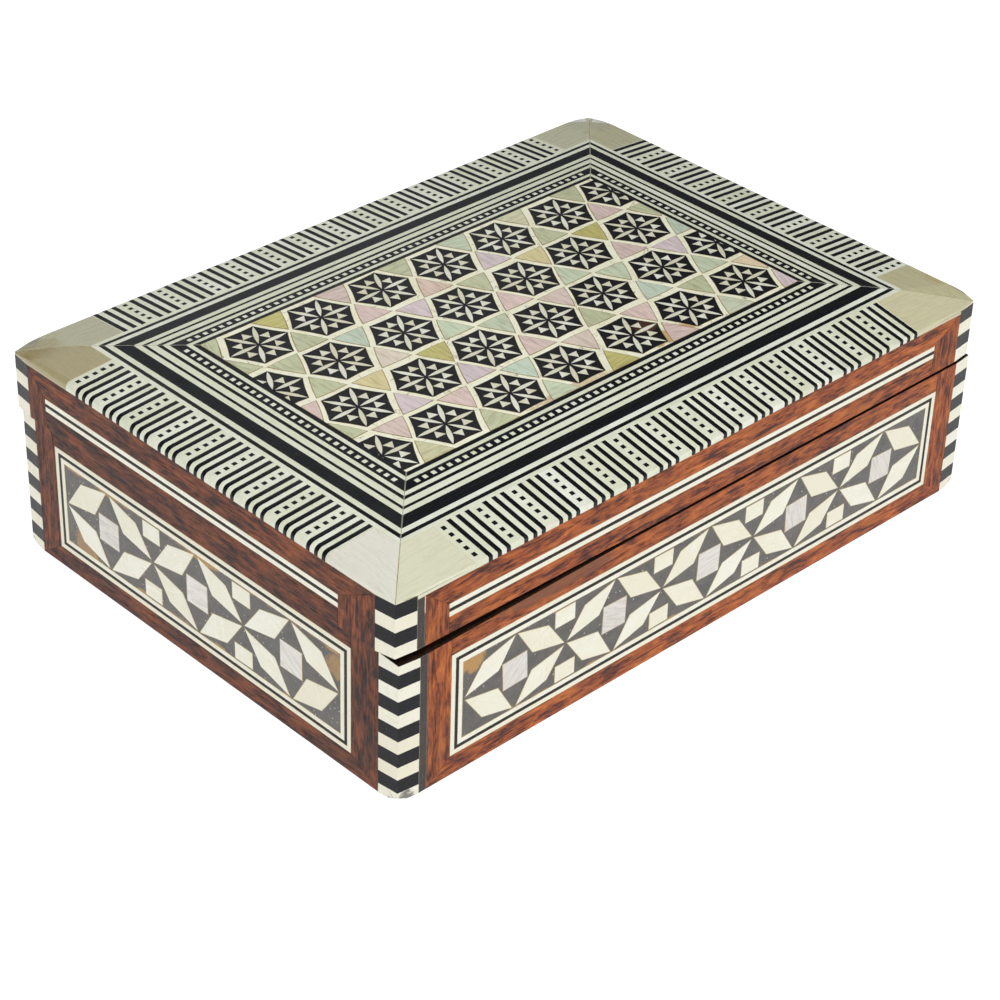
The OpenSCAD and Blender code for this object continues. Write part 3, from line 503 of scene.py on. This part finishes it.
def makeCloth(name, body, lit, pileScale, sheen):
    made, tree, surface, place = startFinish(name, sheen=sheen)
    surface.inputs["Sheen Roughness"].default_value = 0.35
    surface.inputs["Sheen Tint"].default_value = lit
    pile = noise(tree, place, pileScale, 3, 0.7)
    brushed = noise(tree, stretched(tree, place, 1, 0.6, 1, 0.4), 60, 4, 0.6, 1.4)
    colour = mixColours(tree, ramp(tree, pile, (0.3, 0.0), (0.72, 0.6)), body, lit)
    colour = mixColours(tree, ramp(tree, brushed, (0.42, 0.0), (0.62, 0.45)), colour, lit)
    finishWith(tree, surface, colour, pile, 0.6, 0.85)
    return made


amber = paint(190, 140, 58)
brown = paint(92, 62, 34)
dark = paint(44, 36, 30)
even = (1, 1, 1)
footDirt = [((-77.6, -54.2, -0.2), 2.6, even, dark, 0.8), ((-79.2, 55.2, -0.2), 1.3, even, dark, 0.7),
            ((79.2, -55.2, -0.2), 1.4, even, dark, 0.7)]
boneTop = makeBone("bone_top", paint(243, 245, 232), paint(226, 228, 202), 0.4)
boneSide = makeBone("bone_side", paint(250, 249, 236), paint(240, 235, 210), 0.3, footDirt)
boneStar = makeBone("bone_star", paint(244, 245, 234), paint(224, 220, 192), 0.3)
ebonyTop = makeEbony("ebony_top", paint(14, 16, 20), paint(30, 32, 35))
ebonyRun = makeEbony("ebony_run", paint(14, 16, 20), paint(30, 32, 35), mitre=0.16)
ebonyStar = makeEbony("ebony_star", paint(14, 14, 18), paint(32, 31, 32),
                      patches=[((16.0, -22.0, 48), 2.6, even, paint(84, 52, 30), 0.7)])
ebonySide = makeEbony("ebony_side", paint(14, 15, 20), paint(34, 34, 38), 0.06, 0.8)
# the red wood as lit, for the front and back frames
longSideWoodLit = makeWood("front_wood", woodColours["front"], 0.32, 0.06,
                     [((-40, -56, 30.6), 16, (1, 1, 8.0), paint(126, 76, 50), 0.85)])
# the same red wood made darker for the end frames: painted shade
endWoodPaintedShade = makeWood("left_wood", woodColours["left"], 0.36, 0.06)
carcassWood = makeWood("carcass_wood", woodColours["carcass"], 0.2, 0.05)
panelPaste = makeResin("panel_paste", paint(66, 62, 60), paint(92, 87, 80), 0.9, 0.0, brown,
                       [((-62, -56, 24), 3.2, even, amber, 0.9), ((-80, -40, 22), 3.0, even, amber, 0.6),
                        ((-80, 36, 8.0), 4.0, even, amber, 0.6)], edges=(16.0, 9.3, amber))
creamPaste = makeResin("cream_paste", paint(255, 254, 232), paint(246, 242, 208), 0.0, 0.8, brown,
                       [((18, -27.5, 48), 4.5, (0.6, 1.6, 1), amber, 0.8),
                        ((-12, -29.3, 48), 5, (0.4, 3.0, 1), amber, 0.5)])
darkPaste = makeResin("dark_paste", paint(66, 66, 64), paint(104, 102, 96), 0.4, 0.5, dark,
                      [((-73.8, -56, 43.2), 2.2, (1, 1, 0.7), paint(226, 218, 196), 0.9)])
# near-black finish for faces out of sight: painted shade down in the seams and hollows
seamPaintedShade = makeResin("seam_painted_shade", paint(34, 24, 18), paint(58, 42, 30), 0.0, 0.0, dark, shine=0.0)
glueLine = makeResin("glue_line", paint(176, 156, 100), paint(128, 104, 60), 0.0, 0.0, brown)
paleGlue = makeResin("pale_glue", paint(226, 220, 190), paint(206, 192, 148), 0.0, 0.3, brown)
thinGlue = makeResin("thin_glue", paint(214, 206, 168), paint(190, 172, 116), 0.0, 0.0, brown)
shellMosaic = makeShell("shell_mosaic", None, None, 0.45, 0.9)
shellCorner = makeShell("shell_corner", None, None, 0.10, 0.8, 0.35,
                        [((79, -45.4, 46), 3.4, even, amber, 0.3),
                         ((-77, 52, 45), 4.5, even, paint(150, 132, 84), 0.4)])
shellSquare = makeShell("shell_square", paint(226, 221, 214), paint(240, 236, 230), 0.35, 0.8)
brass = makeBrass("old_brass", paint(206, 166, 84), paint(128, 92, 44))
velvet = makeCloth("red_velvet", paint(74, 8, 16), paint(168, 40, 48), 2600, 1.0)
felt = makeCloth("green_felt", paint(36, 48, 34), paint(92, 104, 82), 1500, 0.4)
print("finishes are ready")


# faces with holes in them are left as they come
pierced = ("mosaic_ground", "base_panel_grounds", "checker_band", "star_tiles", "border_bone")


def mergedCopy(node, name):
    # a copy of the node as one skin; flat faces without holes are made whole again
    source = frame["nodes"][node]
    piece = bpy.data.objects.new(name, source.data.copy())
    piece.data.name = name
    bpy.context.scene.collection.objects.link(piece)
    piece.data.materials.clear()
    editOf(piece)
    bpy.ops.mesh.select_all(action="SELECT")
    bpy.ops.mesh.remove_doubles(threshold=0.000002)
    if node not in pierced:
        bpy.ops.mesh.dissolve_limited(angle_limit=math.radians(0.4))
    bpy.ops.mesh.select_all(action="DESELECT")
    backToObject()
    return piece


def onShow(face, shift=0.0):
    # true for a face on the outside of the box; the lid lies shift millimetres to the left
    x, y, z = (abs(face.center.x / mm + shift), abs(face.center.y) / mm, face.center.z / mm)
    normal = face.normal
    inX, inY = boxSize["halfLength"] - x, boxSize["halfDepth"] - y
    if z > boxSize["sideTop"] + 0.02:
        return normal.z > 0.04 or (
            min(inX, inY) < boxSize["ridge"]
            and abs(normal.z) < 0.5 and max(abs(normal.x), abs(normal.y)) > 0.9)
    if inX < 0.05 and abs(normal.x) > 0.9:
        return True
    if inY < 0.05 and abs(normal.y) > 0.9:
        return True
    cut = boxSize["cornerCut"]
    outward = normal.x * face.center.x > 0 and normal.y * face.center.y > 0
    return outward and inX < cut and inY < cut and abs(normal.z) < 0.3 and inX + inY < cut + 0.3


def islandsOf(mesh):
    # number of the loose part that each vertex belongs to
    parent = list(range(len(mesh.vertices)))

    def root(item):
        while parent[item] != item:
            parent[item] = parent[parent[item]]
            item = parent[item]
        return item

    for edge in mesh.edges:
        a, b = root(edge.vertices[0]), root(edge.vertices[1])
        if a != b:
            parent[max(a, b)] = min(a, b)
    roots = [root(item) for item in range(len(parent))]
    order = {value: number for number, value in enumerate(sorted(set(roots)))}
    return np.array([order[value] for value in roots]), len(order)


def ownAxes(points, centre, upright):
    # the three directions of a loose part, longest first
    if upright:
        order = np.argsort(-(points.max(0) - points.min(0)))
        return np.eye(3)[:, order]
    axes = np.linalg.eigh(np.cov((points - centre).T))[1][:, ::-1]
    for column in range(2):
        if axes[:, column].sum() < 0:
            axes[:, column] *= -1
    return axes


def layOut(piece, seed, upright=False):
    # each loose part gets its own number and its own grain, laid along its length
    mesh = piece.data
    island, count = islandsOf(mesh)
    places = np.zeros(len(mesh.vertices) * 3)
    mesh.vertices.foreach_get("co", places)
    places = places.reshape(-1, 3)
    chance = random.Random(seed)
    lay = np.zeros_like(places)
    own = np.zeros(len(places))
    centres = []
    for part in range(count):
        at = island == part
        points = places[at]
        centre = (points.min(0) + points.max(0)) / 2
        centres.append(centre)
        shift = np.array([chance.uniform(-0.4, 0.4) for _ in range(3)])
        lay[at] = (points - centre) @ ownAxes(points, centre, upright) + shift
        own[at] = chance.random()
    put = mesh.attributes.new("lay", "FLOAT_VECTOR", "POINT")
    put.data.foreach_set("vector", lay.astype(np.float32).ravel())
    put = mesh.attributes.new("piece", "FLOAT", "POINT")
    put.data.foreach_set("value", own.astype(np.float32))
    return island, centres


def giveTints(piece, island, firstTints, secondTints):
    for label, values in (("tint", firstTints), ("secondTint", secondTints)):
        put = piece.data.attributes.new(label, "FLOAT_COLOR", "POINT")
        put.data.foreach_set("color", [channel for part in island for channel in values[part]])


def setIn(piece, rim, drop, rimFinish, shift):
    # eases the shown edge of every part; the eased rim may hold a line of glue
    before = BVHTree.FromPolygons([vertex.co[:] for vertex in piece.data.vertices],
                                  [face.vertices[:] for face in piece.data.polygons])
    editOf(piece)
    pickFaces(piece, lambda face: onShow(face, shift))
    bpy.ops.mesh.inset(thickness=rim * mm, depth=drop * mm, use_even_offset=True,
                       use_boundary=True, use_individual=False)
    backToObject()
    for vertex in piece.data.vertices:
        # a narrow tip can throw an eased corner out, so it is laid back on the part
        nearest, _, _, away = before.find_nearest(vertex.co)
        if away > (abs(drop) + 0.02) * mm:
            vertex.co = nearest
    piece.data.materials.append(rimFinish or piece.data.materials[0])
    piece.data.materials.append(seamPaintedShade)
    corners = {v for face in piece.data.polygons if face.select for v in face.vertices}
    for face in piece.data.polygons:
        if not onShow(face, shift):
            face.material_index = 2  # every face out of sight, as down in the seams, gets a near-black finish: painted shade
        elif not face.select and corners.intersection(face.vertices):
            face.material_index = 1


# node: name of the finished piece, slot, finish, rim width, rim drop, glue in the rim
inlayWork = {
    "base_front_frame": ("base_front_wood", "red_wood", longSideWoodLit, 0.12, 0.03, None),
    "base_right_frame": ("base_right_wood", "red_wood", endWoodPaintedShade, 0.12, 0.03, None),
    "base_back_frame": ("base_back_wood", "red_wood", longSideWoodLit, 0.12, 0.03, None),
    "base_left_frame": ("base_left_wood", "red_wood", endWoodPaintedShade, 0.12, 0.03, None),
    "lid_front_frame": ("lid_front_wood", "red_wood", longSideWoodLit, 0.12, 0.03, None),
    "lid_right_frame": ("lid_right_wood", "red_wood", endWoodPaintedShade, 0.12, 0.03, None),
    "lid_back_frame": ("lid_back_wood", "red_wood", longSideWoodLit, 0.12, 0.03, None),
    "lid_left_frame": ("lid_left_wood", "red_wood", endWoodPaintedShade, 0.12, 0.03, None),
    "base_white_lines": ("panel_white_lines", "bone", boneSide, 0.05, 0.02, thinGlue),
    "base_black_lines": ("panel_black_lines", "ebony", ebonySide, 0.04, 0.01, None),
    "base_panel_grounds": ("panel_grounds", "dark_resin", panelPaste, 0.08, -0.02, glueLine),
    "base_bone_lozenges": ("panel_lozenges", "bone", boneSide, 0.07, 0.03, thinGlue),
    "base_bone_tabs": ("panel_tabs", "bone", boneSide, 0.07, 0.03, thinGlue),
    "base_pearl_squares": ("panel_pearl_squares", "pearl", shellSquare, 0.08, 0.02, glueLine),
    "base_column_ebony": ("base_corner_ebony", "ebony", ebonySide, 0.05, 0.02, None),
    "base_column_bone": ("base_corner_bone", "bone", boneSide, 0.05, 0.02, thinGlue),
    "base_edge_filler": ("base_filler_strip", "dark_resin", darkPaste, 0.15, -0.06, None),
    "lid_white_lines": ("lid_side_white_lines", "bone", boneSide, 0.05, 0.02, thinGlue),
    "lid_black_lines": ("lid_side_black_lines", "ebony", ebonySide, 0.04, 0.01, None),
    "lid_column_ebony": ("lid_corner_ebony", "ebony", ebonySide, 0.05, 0.02, None),
    "lid_column_bone": ("lid_corner_bone", "bone", boneSide, 0.05, 0.02, thinGlue),
    "lid_edge_filler": ("lid_filler_strip", "dark_resin", darkPaste, 0.15, -0.06, None),
    "border_bone": ("border_bone_blocks", "bone", boneTop, 0.05, 0.02, None),
    "border_ebony_bars": ("border_bars", "ebony", ebonyTop, 0.05, 0.015, None),
    "border_ebony_dots": ("border_dots", "ebony", ebonyTop, 0.05, 0.01, None),
    "border_corner_shells": ("corner_shells", "shell", shellCorner, 0.10, 0.01, paleGlue),
    "top_white_lines": ("lid_white_lines_work", "bone", boneTop, 0.05, 0.02, None),
    "top_black_lines": ("lid_black_lines_work", "ebony", ebonyRun, 0.04, 0.01, None),
    "top_black_band": ("lid_black_band", "ebony", ebonyRun, 0.06, 0.02, None),
    "checker_band": ("lid_checker_band", "ebony", ebonyRun, 0.04, 0.01, None),
    "checker_squares": ("lid_checker_squares", "bone", boneTop, 0.05, 0.01, None),
    "mosaic_ground": ("mosaic_paste", "cream_resin", creamPaste, 0.06, -0.02, glueLine),
    "star_tiles": ("mosaic_star_tiles", "ebony", ebonyStar, 0.05, 0.015, None),
    "star_slivers": ("mosaic_star_slivers", "bone", boneStar, 0.03, 0.01, None),
    "star_points": ("mosaic_star_points", "bone", boneStar, 0.04, 0.01, None),
    "shell_triangles": ("mosaic_shells", "shell", shellMosaic, 0.12, 0.03, glueLine),
}

madePieces = {}
for number, (node, work) in enumerate(inlayWork.items()):
    name, slot, finish, rim, drop, rimFinish = work
    body = frame["nodes"][node]["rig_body"]
    piece = mergedCopy(node, name)
    piece.data.materials.append(finish)
    setIn(piece, rim, drop, rimFinish, boxSize["lidOff"] if body == "lid" else 0.0)
    madePieces[name] = (piece,) + layOut(piece, 100 + number, slot == "red_wood")
    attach(piece, body)
    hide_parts(node)
    print("worked", name, len(piece.data.polygons), "faces")


# shells of the mosaic: a tint for each triangle
shellTints = {
    "pink": (paint(236, 212, 204), paint(240, 228, 208)),
    "lilac": (paint(230, 214, 218), paint(238, 220, 206)),
    "green": (paint(214, 226, 196), paint(232, 230, 190)),
    "mint": (paint(210, 226, 206), paint(226, 230, 200)),
    "gold": (paint(210, 202, 122), paint(232, 218, 166)),
    "sage": (paint(208, 214, 174), paint(222, 218, 176)),
    "peach": (paint(240, 220, 186), paint(238, 212, 196)),
}
tintOrder = ["green", "pink", "gold", "sage", "peach", "mint", "pink", "sage", "green", "lilac"]
shells, island, centres = madePieces["mosaic_shells"]
firstTints, secondTints = [], []
for _ in centres:
    pair = shellTints[tintOrder[picks.randrange(len(tintOrder))]]
    if picks.random() < 0.65:
        pair = (pair[0], shellTints[tintOrder[picks.randrange(len(tintOrder))]][0])
    firstTints.append(pair[0])
    secondTints.append(pair[1])
giveTints(shells, island, firstTints, secondTints)

# the corner shells differ from corner to corner: left or right, front or back, long or short side
cornerTints = {
    (0, 0, 0): (paint(233, 231, 216), paint(216, 220, 196)),
    (0, 0, 1): (paint(232, 231, 204), paint(214, 218, 182)),
    (0, 1, 0): (paint(192, 186, 150), paint(172, 160, 116)),
    (0, 1, 1): (paint(190, 188, 158), paint(176, 170, 132)),
    (1, 0, 0): (paint(214, 210, 176), paint(198, 192, 150)),
    (1, 0, 1): (paint(218, 212, 174), paint(204, 196, 150)),
    (1, 1, 0): (paint(210, 208, 176), paint(196, 192, 158)),
    (1, 1, 1): (paint(206, 206, 176), paint(190, 188, 152)),
}
cornerShells, island, centres = madePieces["corner_shells"]
firstTints, secondTints = [], []
for centre in centres:
    toEnd = abs(abs(centre[0]) - boxSize["halfLength"] * mm)
    toFront = abs(abs(centre[1]) - boxSize["halfDepth"] * mm)
    onLong = toEnd > toFront
    pair = cornerTints[(int(centre[0] > 0), int(centre[1] > 0), int(onLong))]
    firstTints.append(pair[0])
    secondTints.append(pair[1])
giveTints(cornerShells, island, firstTints, secondTints)

# velvet pads and wall linings: closed shells swollen a little by cloth pressure, then capped
# and given an even crown; lengths in mm
padWork = {
    "base_lining_floor": {"name": "base_velvet_pad", "grid": (58, 40), "upward": 1, "rise": 1.1},
    "lid_lining_pad": {"name": "lid_velvet_pad", "grid": (58, 40), "upward": -1, "rise": 1.4},
}
padFit = {"gap": 0.1, "fill": 0.5}
wallWork = {"thick": 1.0, "gap": 0.05, "cornerGap": 0.1, "rise": 0.45, "fill": 0.3,
            "longGrid": (40, 8), "shortGrid": (28, 8)}
softSetup = {"frames": 20, "pressure": 4.0, "stiffness": 18.0, "mass": 0.15, "edge": 0.35,
             "crownReach": 6, "crownShare": 0.6, "swellKept": 0.5, "spreadKept": 0.2,
             "heldWithin": 0.05, "frontWithin": 0.1}


def paddedShell(name, low, high, cells, face):
    # a closed thin box of small cells; face is the axis that the lining is thin along
    deselectAll()
    low, high = np.array(low), np.array(high)
    flat = [axis for axis in range(3) if axis != face]
    bpy.ops.mesh.primitive_grid_add(x_subdivisions=cells[0], y_subdivisions=cells[1], size=1)
    piece = bpy.context.object
    piece.name = name
    piece.data.name = name
    editOf(piece)
    bpy.ops.mesh.select_all(action="SELECT")
    bpy.ops.mesh.extrude_region_move(TRANSFORM_OT_translate={"value": (0, 0, 1)})
    backToObject()
    places = np.zeros(len(piece.data.vertices) * 3)
    piece.data.vertices.foreach_get("co", places)
    places = places.reshape(-1, 3)
    placed = np.zeros_like(places)
    placed[:, flat[0]] = low[flat[0]] + (places[:, 0] + 0.5) * (high - low)[flat[0]]
    placed[:, flat[1]] = low[flat[1]] + (places[:, 1] + 0.5) * (high - low)[flat[1]]
    placed[:, face] = low[face] + places[:, 2] * (high - low)[face]
    piece.data.vertices.foreach_set("co", placed.ravel())
    editOf(piece)
    bpy.ops.mesh.select_all(action="SELECT")
    bpy.ops.mesh.normals_make_consistent(inside=False)
    backToObject()
    return piece


def puffUp(piece, backAt, limit, thin, outward):
    # cloth pressure swells the shell; the cap keeps every point within limit of its start
    mesh = piece.data
    start = np.array([vertex.co[:] for vertex in mesh.vertices])
    group = piece.vertex_groups.new(name="held")
    held = np.abs(start[:, thin] - backAt) < softSetup["heldWithin"] * mm
    group.add(np.flatnonzero(held).tolist(), 1.0, "ADD")
    takeUp(piece)
    cloth = piece.modifiers.new("blown", "CLOTH")
    cloth.settings.use_pressure = True
    cloth.settings.uniform_pressure_force = softSetup["pressure"]
    cloth.settings.effector_weights.gravity = 0
    cloth.settings.vertex_group_mass = "held"
    cloth.settings.tension_stiffness = softSetup["stiffness"]
    cloth.settings.compression_stiffness = softSetup["stiffness"]
    cloth.settings.mass = softSetup["mass"]
    cloth.point_cache.frame_end = softSetup["frames"]
    for number in range(1, softSetup["frames"] + 1):
        bpy.context.scene.frame_set(number)
    bpy.ops.object.modifier_apply(modifier="blown")
    bpy.context.scene.frame_set(1)
    places = np.array([vertex.co[:] for vertex in piece.data.vertices])
    moved = places - start
    far = np.linalg.norm(moved, axis=1)
    far[far == 0] = 1
    moved *= np.minimum(1, limit / far)[:, None]
    low, high = start.min(0), start.max(0)
    flat = [axis for axis in range(3) if axis != thin]
    share = np.minimum(start - low, high - start)[:, flat].min(1) / (softSetup["crownReach"] * mm)
    crown = np.sin(np.clip(share, 0, 1) * math.pi / 2) * limit * softSetup["crownShare"]
    shownFace = (high if outward > 0 else low)[thin]
    front = np.abs(start[:, thin] - shownFace) < softSetup["frontWithin"] * mm
    moved[:, flat] *= softSetup["spreadKept"]
    swell = moved[:, thin] * softSetup["swellKept"] + outward * crown
    moved[:, thin] = np.where(front, swell, 0)
    piece.data.vertices.foreach_set("co", (start + moved).ravel())
    piece.data.update()
    piece.vertex_groups.clear()


def finishSoft(piece, node):
    takeUp(piece)
    bevel = piece.modifiers.new("rolled edge", "BEVEL")
    bevel.width = softSetup["edge"] * mm
    bevel.segments = 3
    bevel.angle_limit = math.radians(40)
    bpy.ops.object.modifier_apply(modifier="rolled edge")
    smooth = piece.modifiers.new("smooth", "SUBSURF")
    smooth.levels = 1
    smooth.render_levels = 1
    bpy.ops.object.modifier_apply(modifier="smooth")
    bpy.ops.object.shade_smooth()
    piece.data.materials.append(velvet)
    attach(piece, frame["nodes"][node]["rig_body"])
    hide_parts(node)
    print("padded", piece.name, len(piece.data.polygons), "faces")


for node, setup in padWork.items():
    low, high = (np.array(corner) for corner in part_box(node))
    outward = setup["upward"]
    gap = padFit["gap"] * mm
    pad = paddedShell(setup["name"], low + gap, high - gap, setup["grid"], 2)
    backAt = low[2] + gap if outward > 0 else high[2] - gap
    puffUp(pad, backAt, setup["rise"] * mm, 2, outward)
    finishSoft(pad, node)

for node in ("base_lining_walls", "lid_lining_walls"):
    low, high = (np.array(corner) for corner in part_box(node))
    for label, face, side in (("front", 1, 0), ("right", 0, 1), ("back", 1, 1), ("left", 0, 0)):
        gap = wallWork["gap"] * mm
        start, end = low + gap, high - gap
        if side:
            start[face] = high[face] - (wallWork["thick"] - wallWork["gap"]) * mm
        else:
            end[face] = low[face] + (wallWork["thick"] - wallWork["gap"]) * mm
        if face == 0:
            # the short walls stop at the inside of the long ones
            start[1] += (wallWork["thick"] + wallWork["cornerGap"]) * mm
            end[1] -= (wallWork["thick"] + wallWork["cornerGap"]) * mm
        outward = -1 if side else 1
        cells = wallWork["longGrid"] if face == 1 else wallWork["shortGrid"]
        lining = paddedShell(node.split("_")[0] + "_velvet_" + label, start, end, cells, face)
        backAt = end[face] if side else start[face]
        puffUp(lining, backAt, wallWork["rise"] * mm, face, outward)
        finishSoft(lining, node)

# green felt glued under the floor board; corners cut off 5.4 mm each way
feltWork = {"bevel": 0.2, "cornerCut": 5.4}
under = mergedCopy("underside_felt", "felt_underside")
under.data.materials.append(felt)
takeUp(under)
edge = under.modifiers.new("cut edge", "BEVEL")
edge.width = feltWork["bevel"] * mm
edge.segments = 2
edge.angle_limit = math.radians(40)
bpy.ops.object.modifier_apply(modifier="cut edge")
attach(under, "base")
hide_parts("underside_felt")

# the carcass, the boards and the hinges stay as they are packed, with their own finish
replaced = set(inlayWork) | set(padWork) | {"base_lining_walls", "lid_lining_walls", "underside_felt"}
for node, part in frame["nodes"].items():
    if node in replaced:
        continue
    part.data.materials.clear()
    part.data.materials.append(brass if "hinge" in node else carcassWood)
print("inlay is laid")


def makeFloor(size, height, shade):
    deselectAll()
    bpy.ops.mesh.primitive_plane_add(size=size, location=(0, 0, height))
    floor = bpy.context.object
    floor.name = "studio_floor"
    made = bpy.data.materials.new("studio_paper")
    made.use_nodes = True
    surface = made.node_tree.nodes["Principled BSDF"]
    surface.inputs["Base Color"].default_value = shade
    surface.inputs["Roughness"].default_value = 0.9
    surface.inputs["Emission Color"].default_value = (1, 1, 1, 1)
    surface.inputs["Emission Strength"].default_value = 0.93
    floor.data.materials.append(made)


def makeLamp(name, place, aim, size, watts):
    lamp = bpy.data.lights.new(name, "AREA")
    lamp.shape = "DISK"
    lamp.size = size
    lamp.energy = watts
    holder = bpy.data.objects.new(name, lamp)
    bpy.context.scene.collection.objects.link(holder)
    holder.location = place
    holder.rotation_mode = "QUATERNION"
    holder.rotation_quaternion = (Vector(aim) - Vector(place)).to_track_quat("-Z", "Y")


studio = {
    "lens": 99.63,
    "cameraAt": (-0.3381, -0.3395, 0.3234),
    "looks": (0.5855, 0.5896, -0.5564),
    "right": (0.7226, -0.6907, 0.0285),
}


def makeCamera(setup):
    data = bpy.data.cameras.new("camera")
    data.sensor_width = 36
    data.lens = setup["lens"]
    data.clip_start = 0.01
    holder = bpy.data.objects.new("camera", data)
    bpy.context.scene.collection.objects.link(holder)
    looks = Vector(setup["looks"]).normalized()
    right = Vector(setup["right"])
    right = (right - looks * right.dot(looks)).normalized()
    up = right.cross(looks)
    turn = Matrix((right, up, -looks)).transposed()
    holder.matrix_world = Matrix.Translation(setup["cameraAt"]) @ turn.to_4x4()
    bpy.context.scene.camera = holder


# lamp: place, aim, size in m, watts
lamps = {
    "soft_top": ((-0.12, -0.2, 0.58), (0, 0, 0.04), 0.45, 2.6),
    "soft_right": ((0.5, -0.7, 0.35), (0, 0, 0.03), 0.5, 1.0),
    "soft_left": ((-0.8, 0.0, 0.4), (0, 0, 0.03), 0.5, 0.9),
    "soft_back": ((0.5, 0.8, 0.6), (0, 0, 0.04), 0.5, 0.35),
}

makeFloor(20, -0.0002, (0.35, 0.35, 0.35, 1))
makeCamera(studio)
for name, (place, aim, size, watts) in lamps.items():
    makeLamp(name, place, aim, size, watts)
world = bpy.data.worlds.new("studio_air")
bpy.context.scene.world = world
world.use_nodes = True
world.node_tree.nodes["Background"].inputs["Color"].default_value = (0.94, 0.97, 1, 1)
world.node_tree.nodes["Background"].inputs["Strength"].default_value = 0.14
bpy.context.scene.view_settings.view_transform = "Standard"
print("floor, light and camera are set")
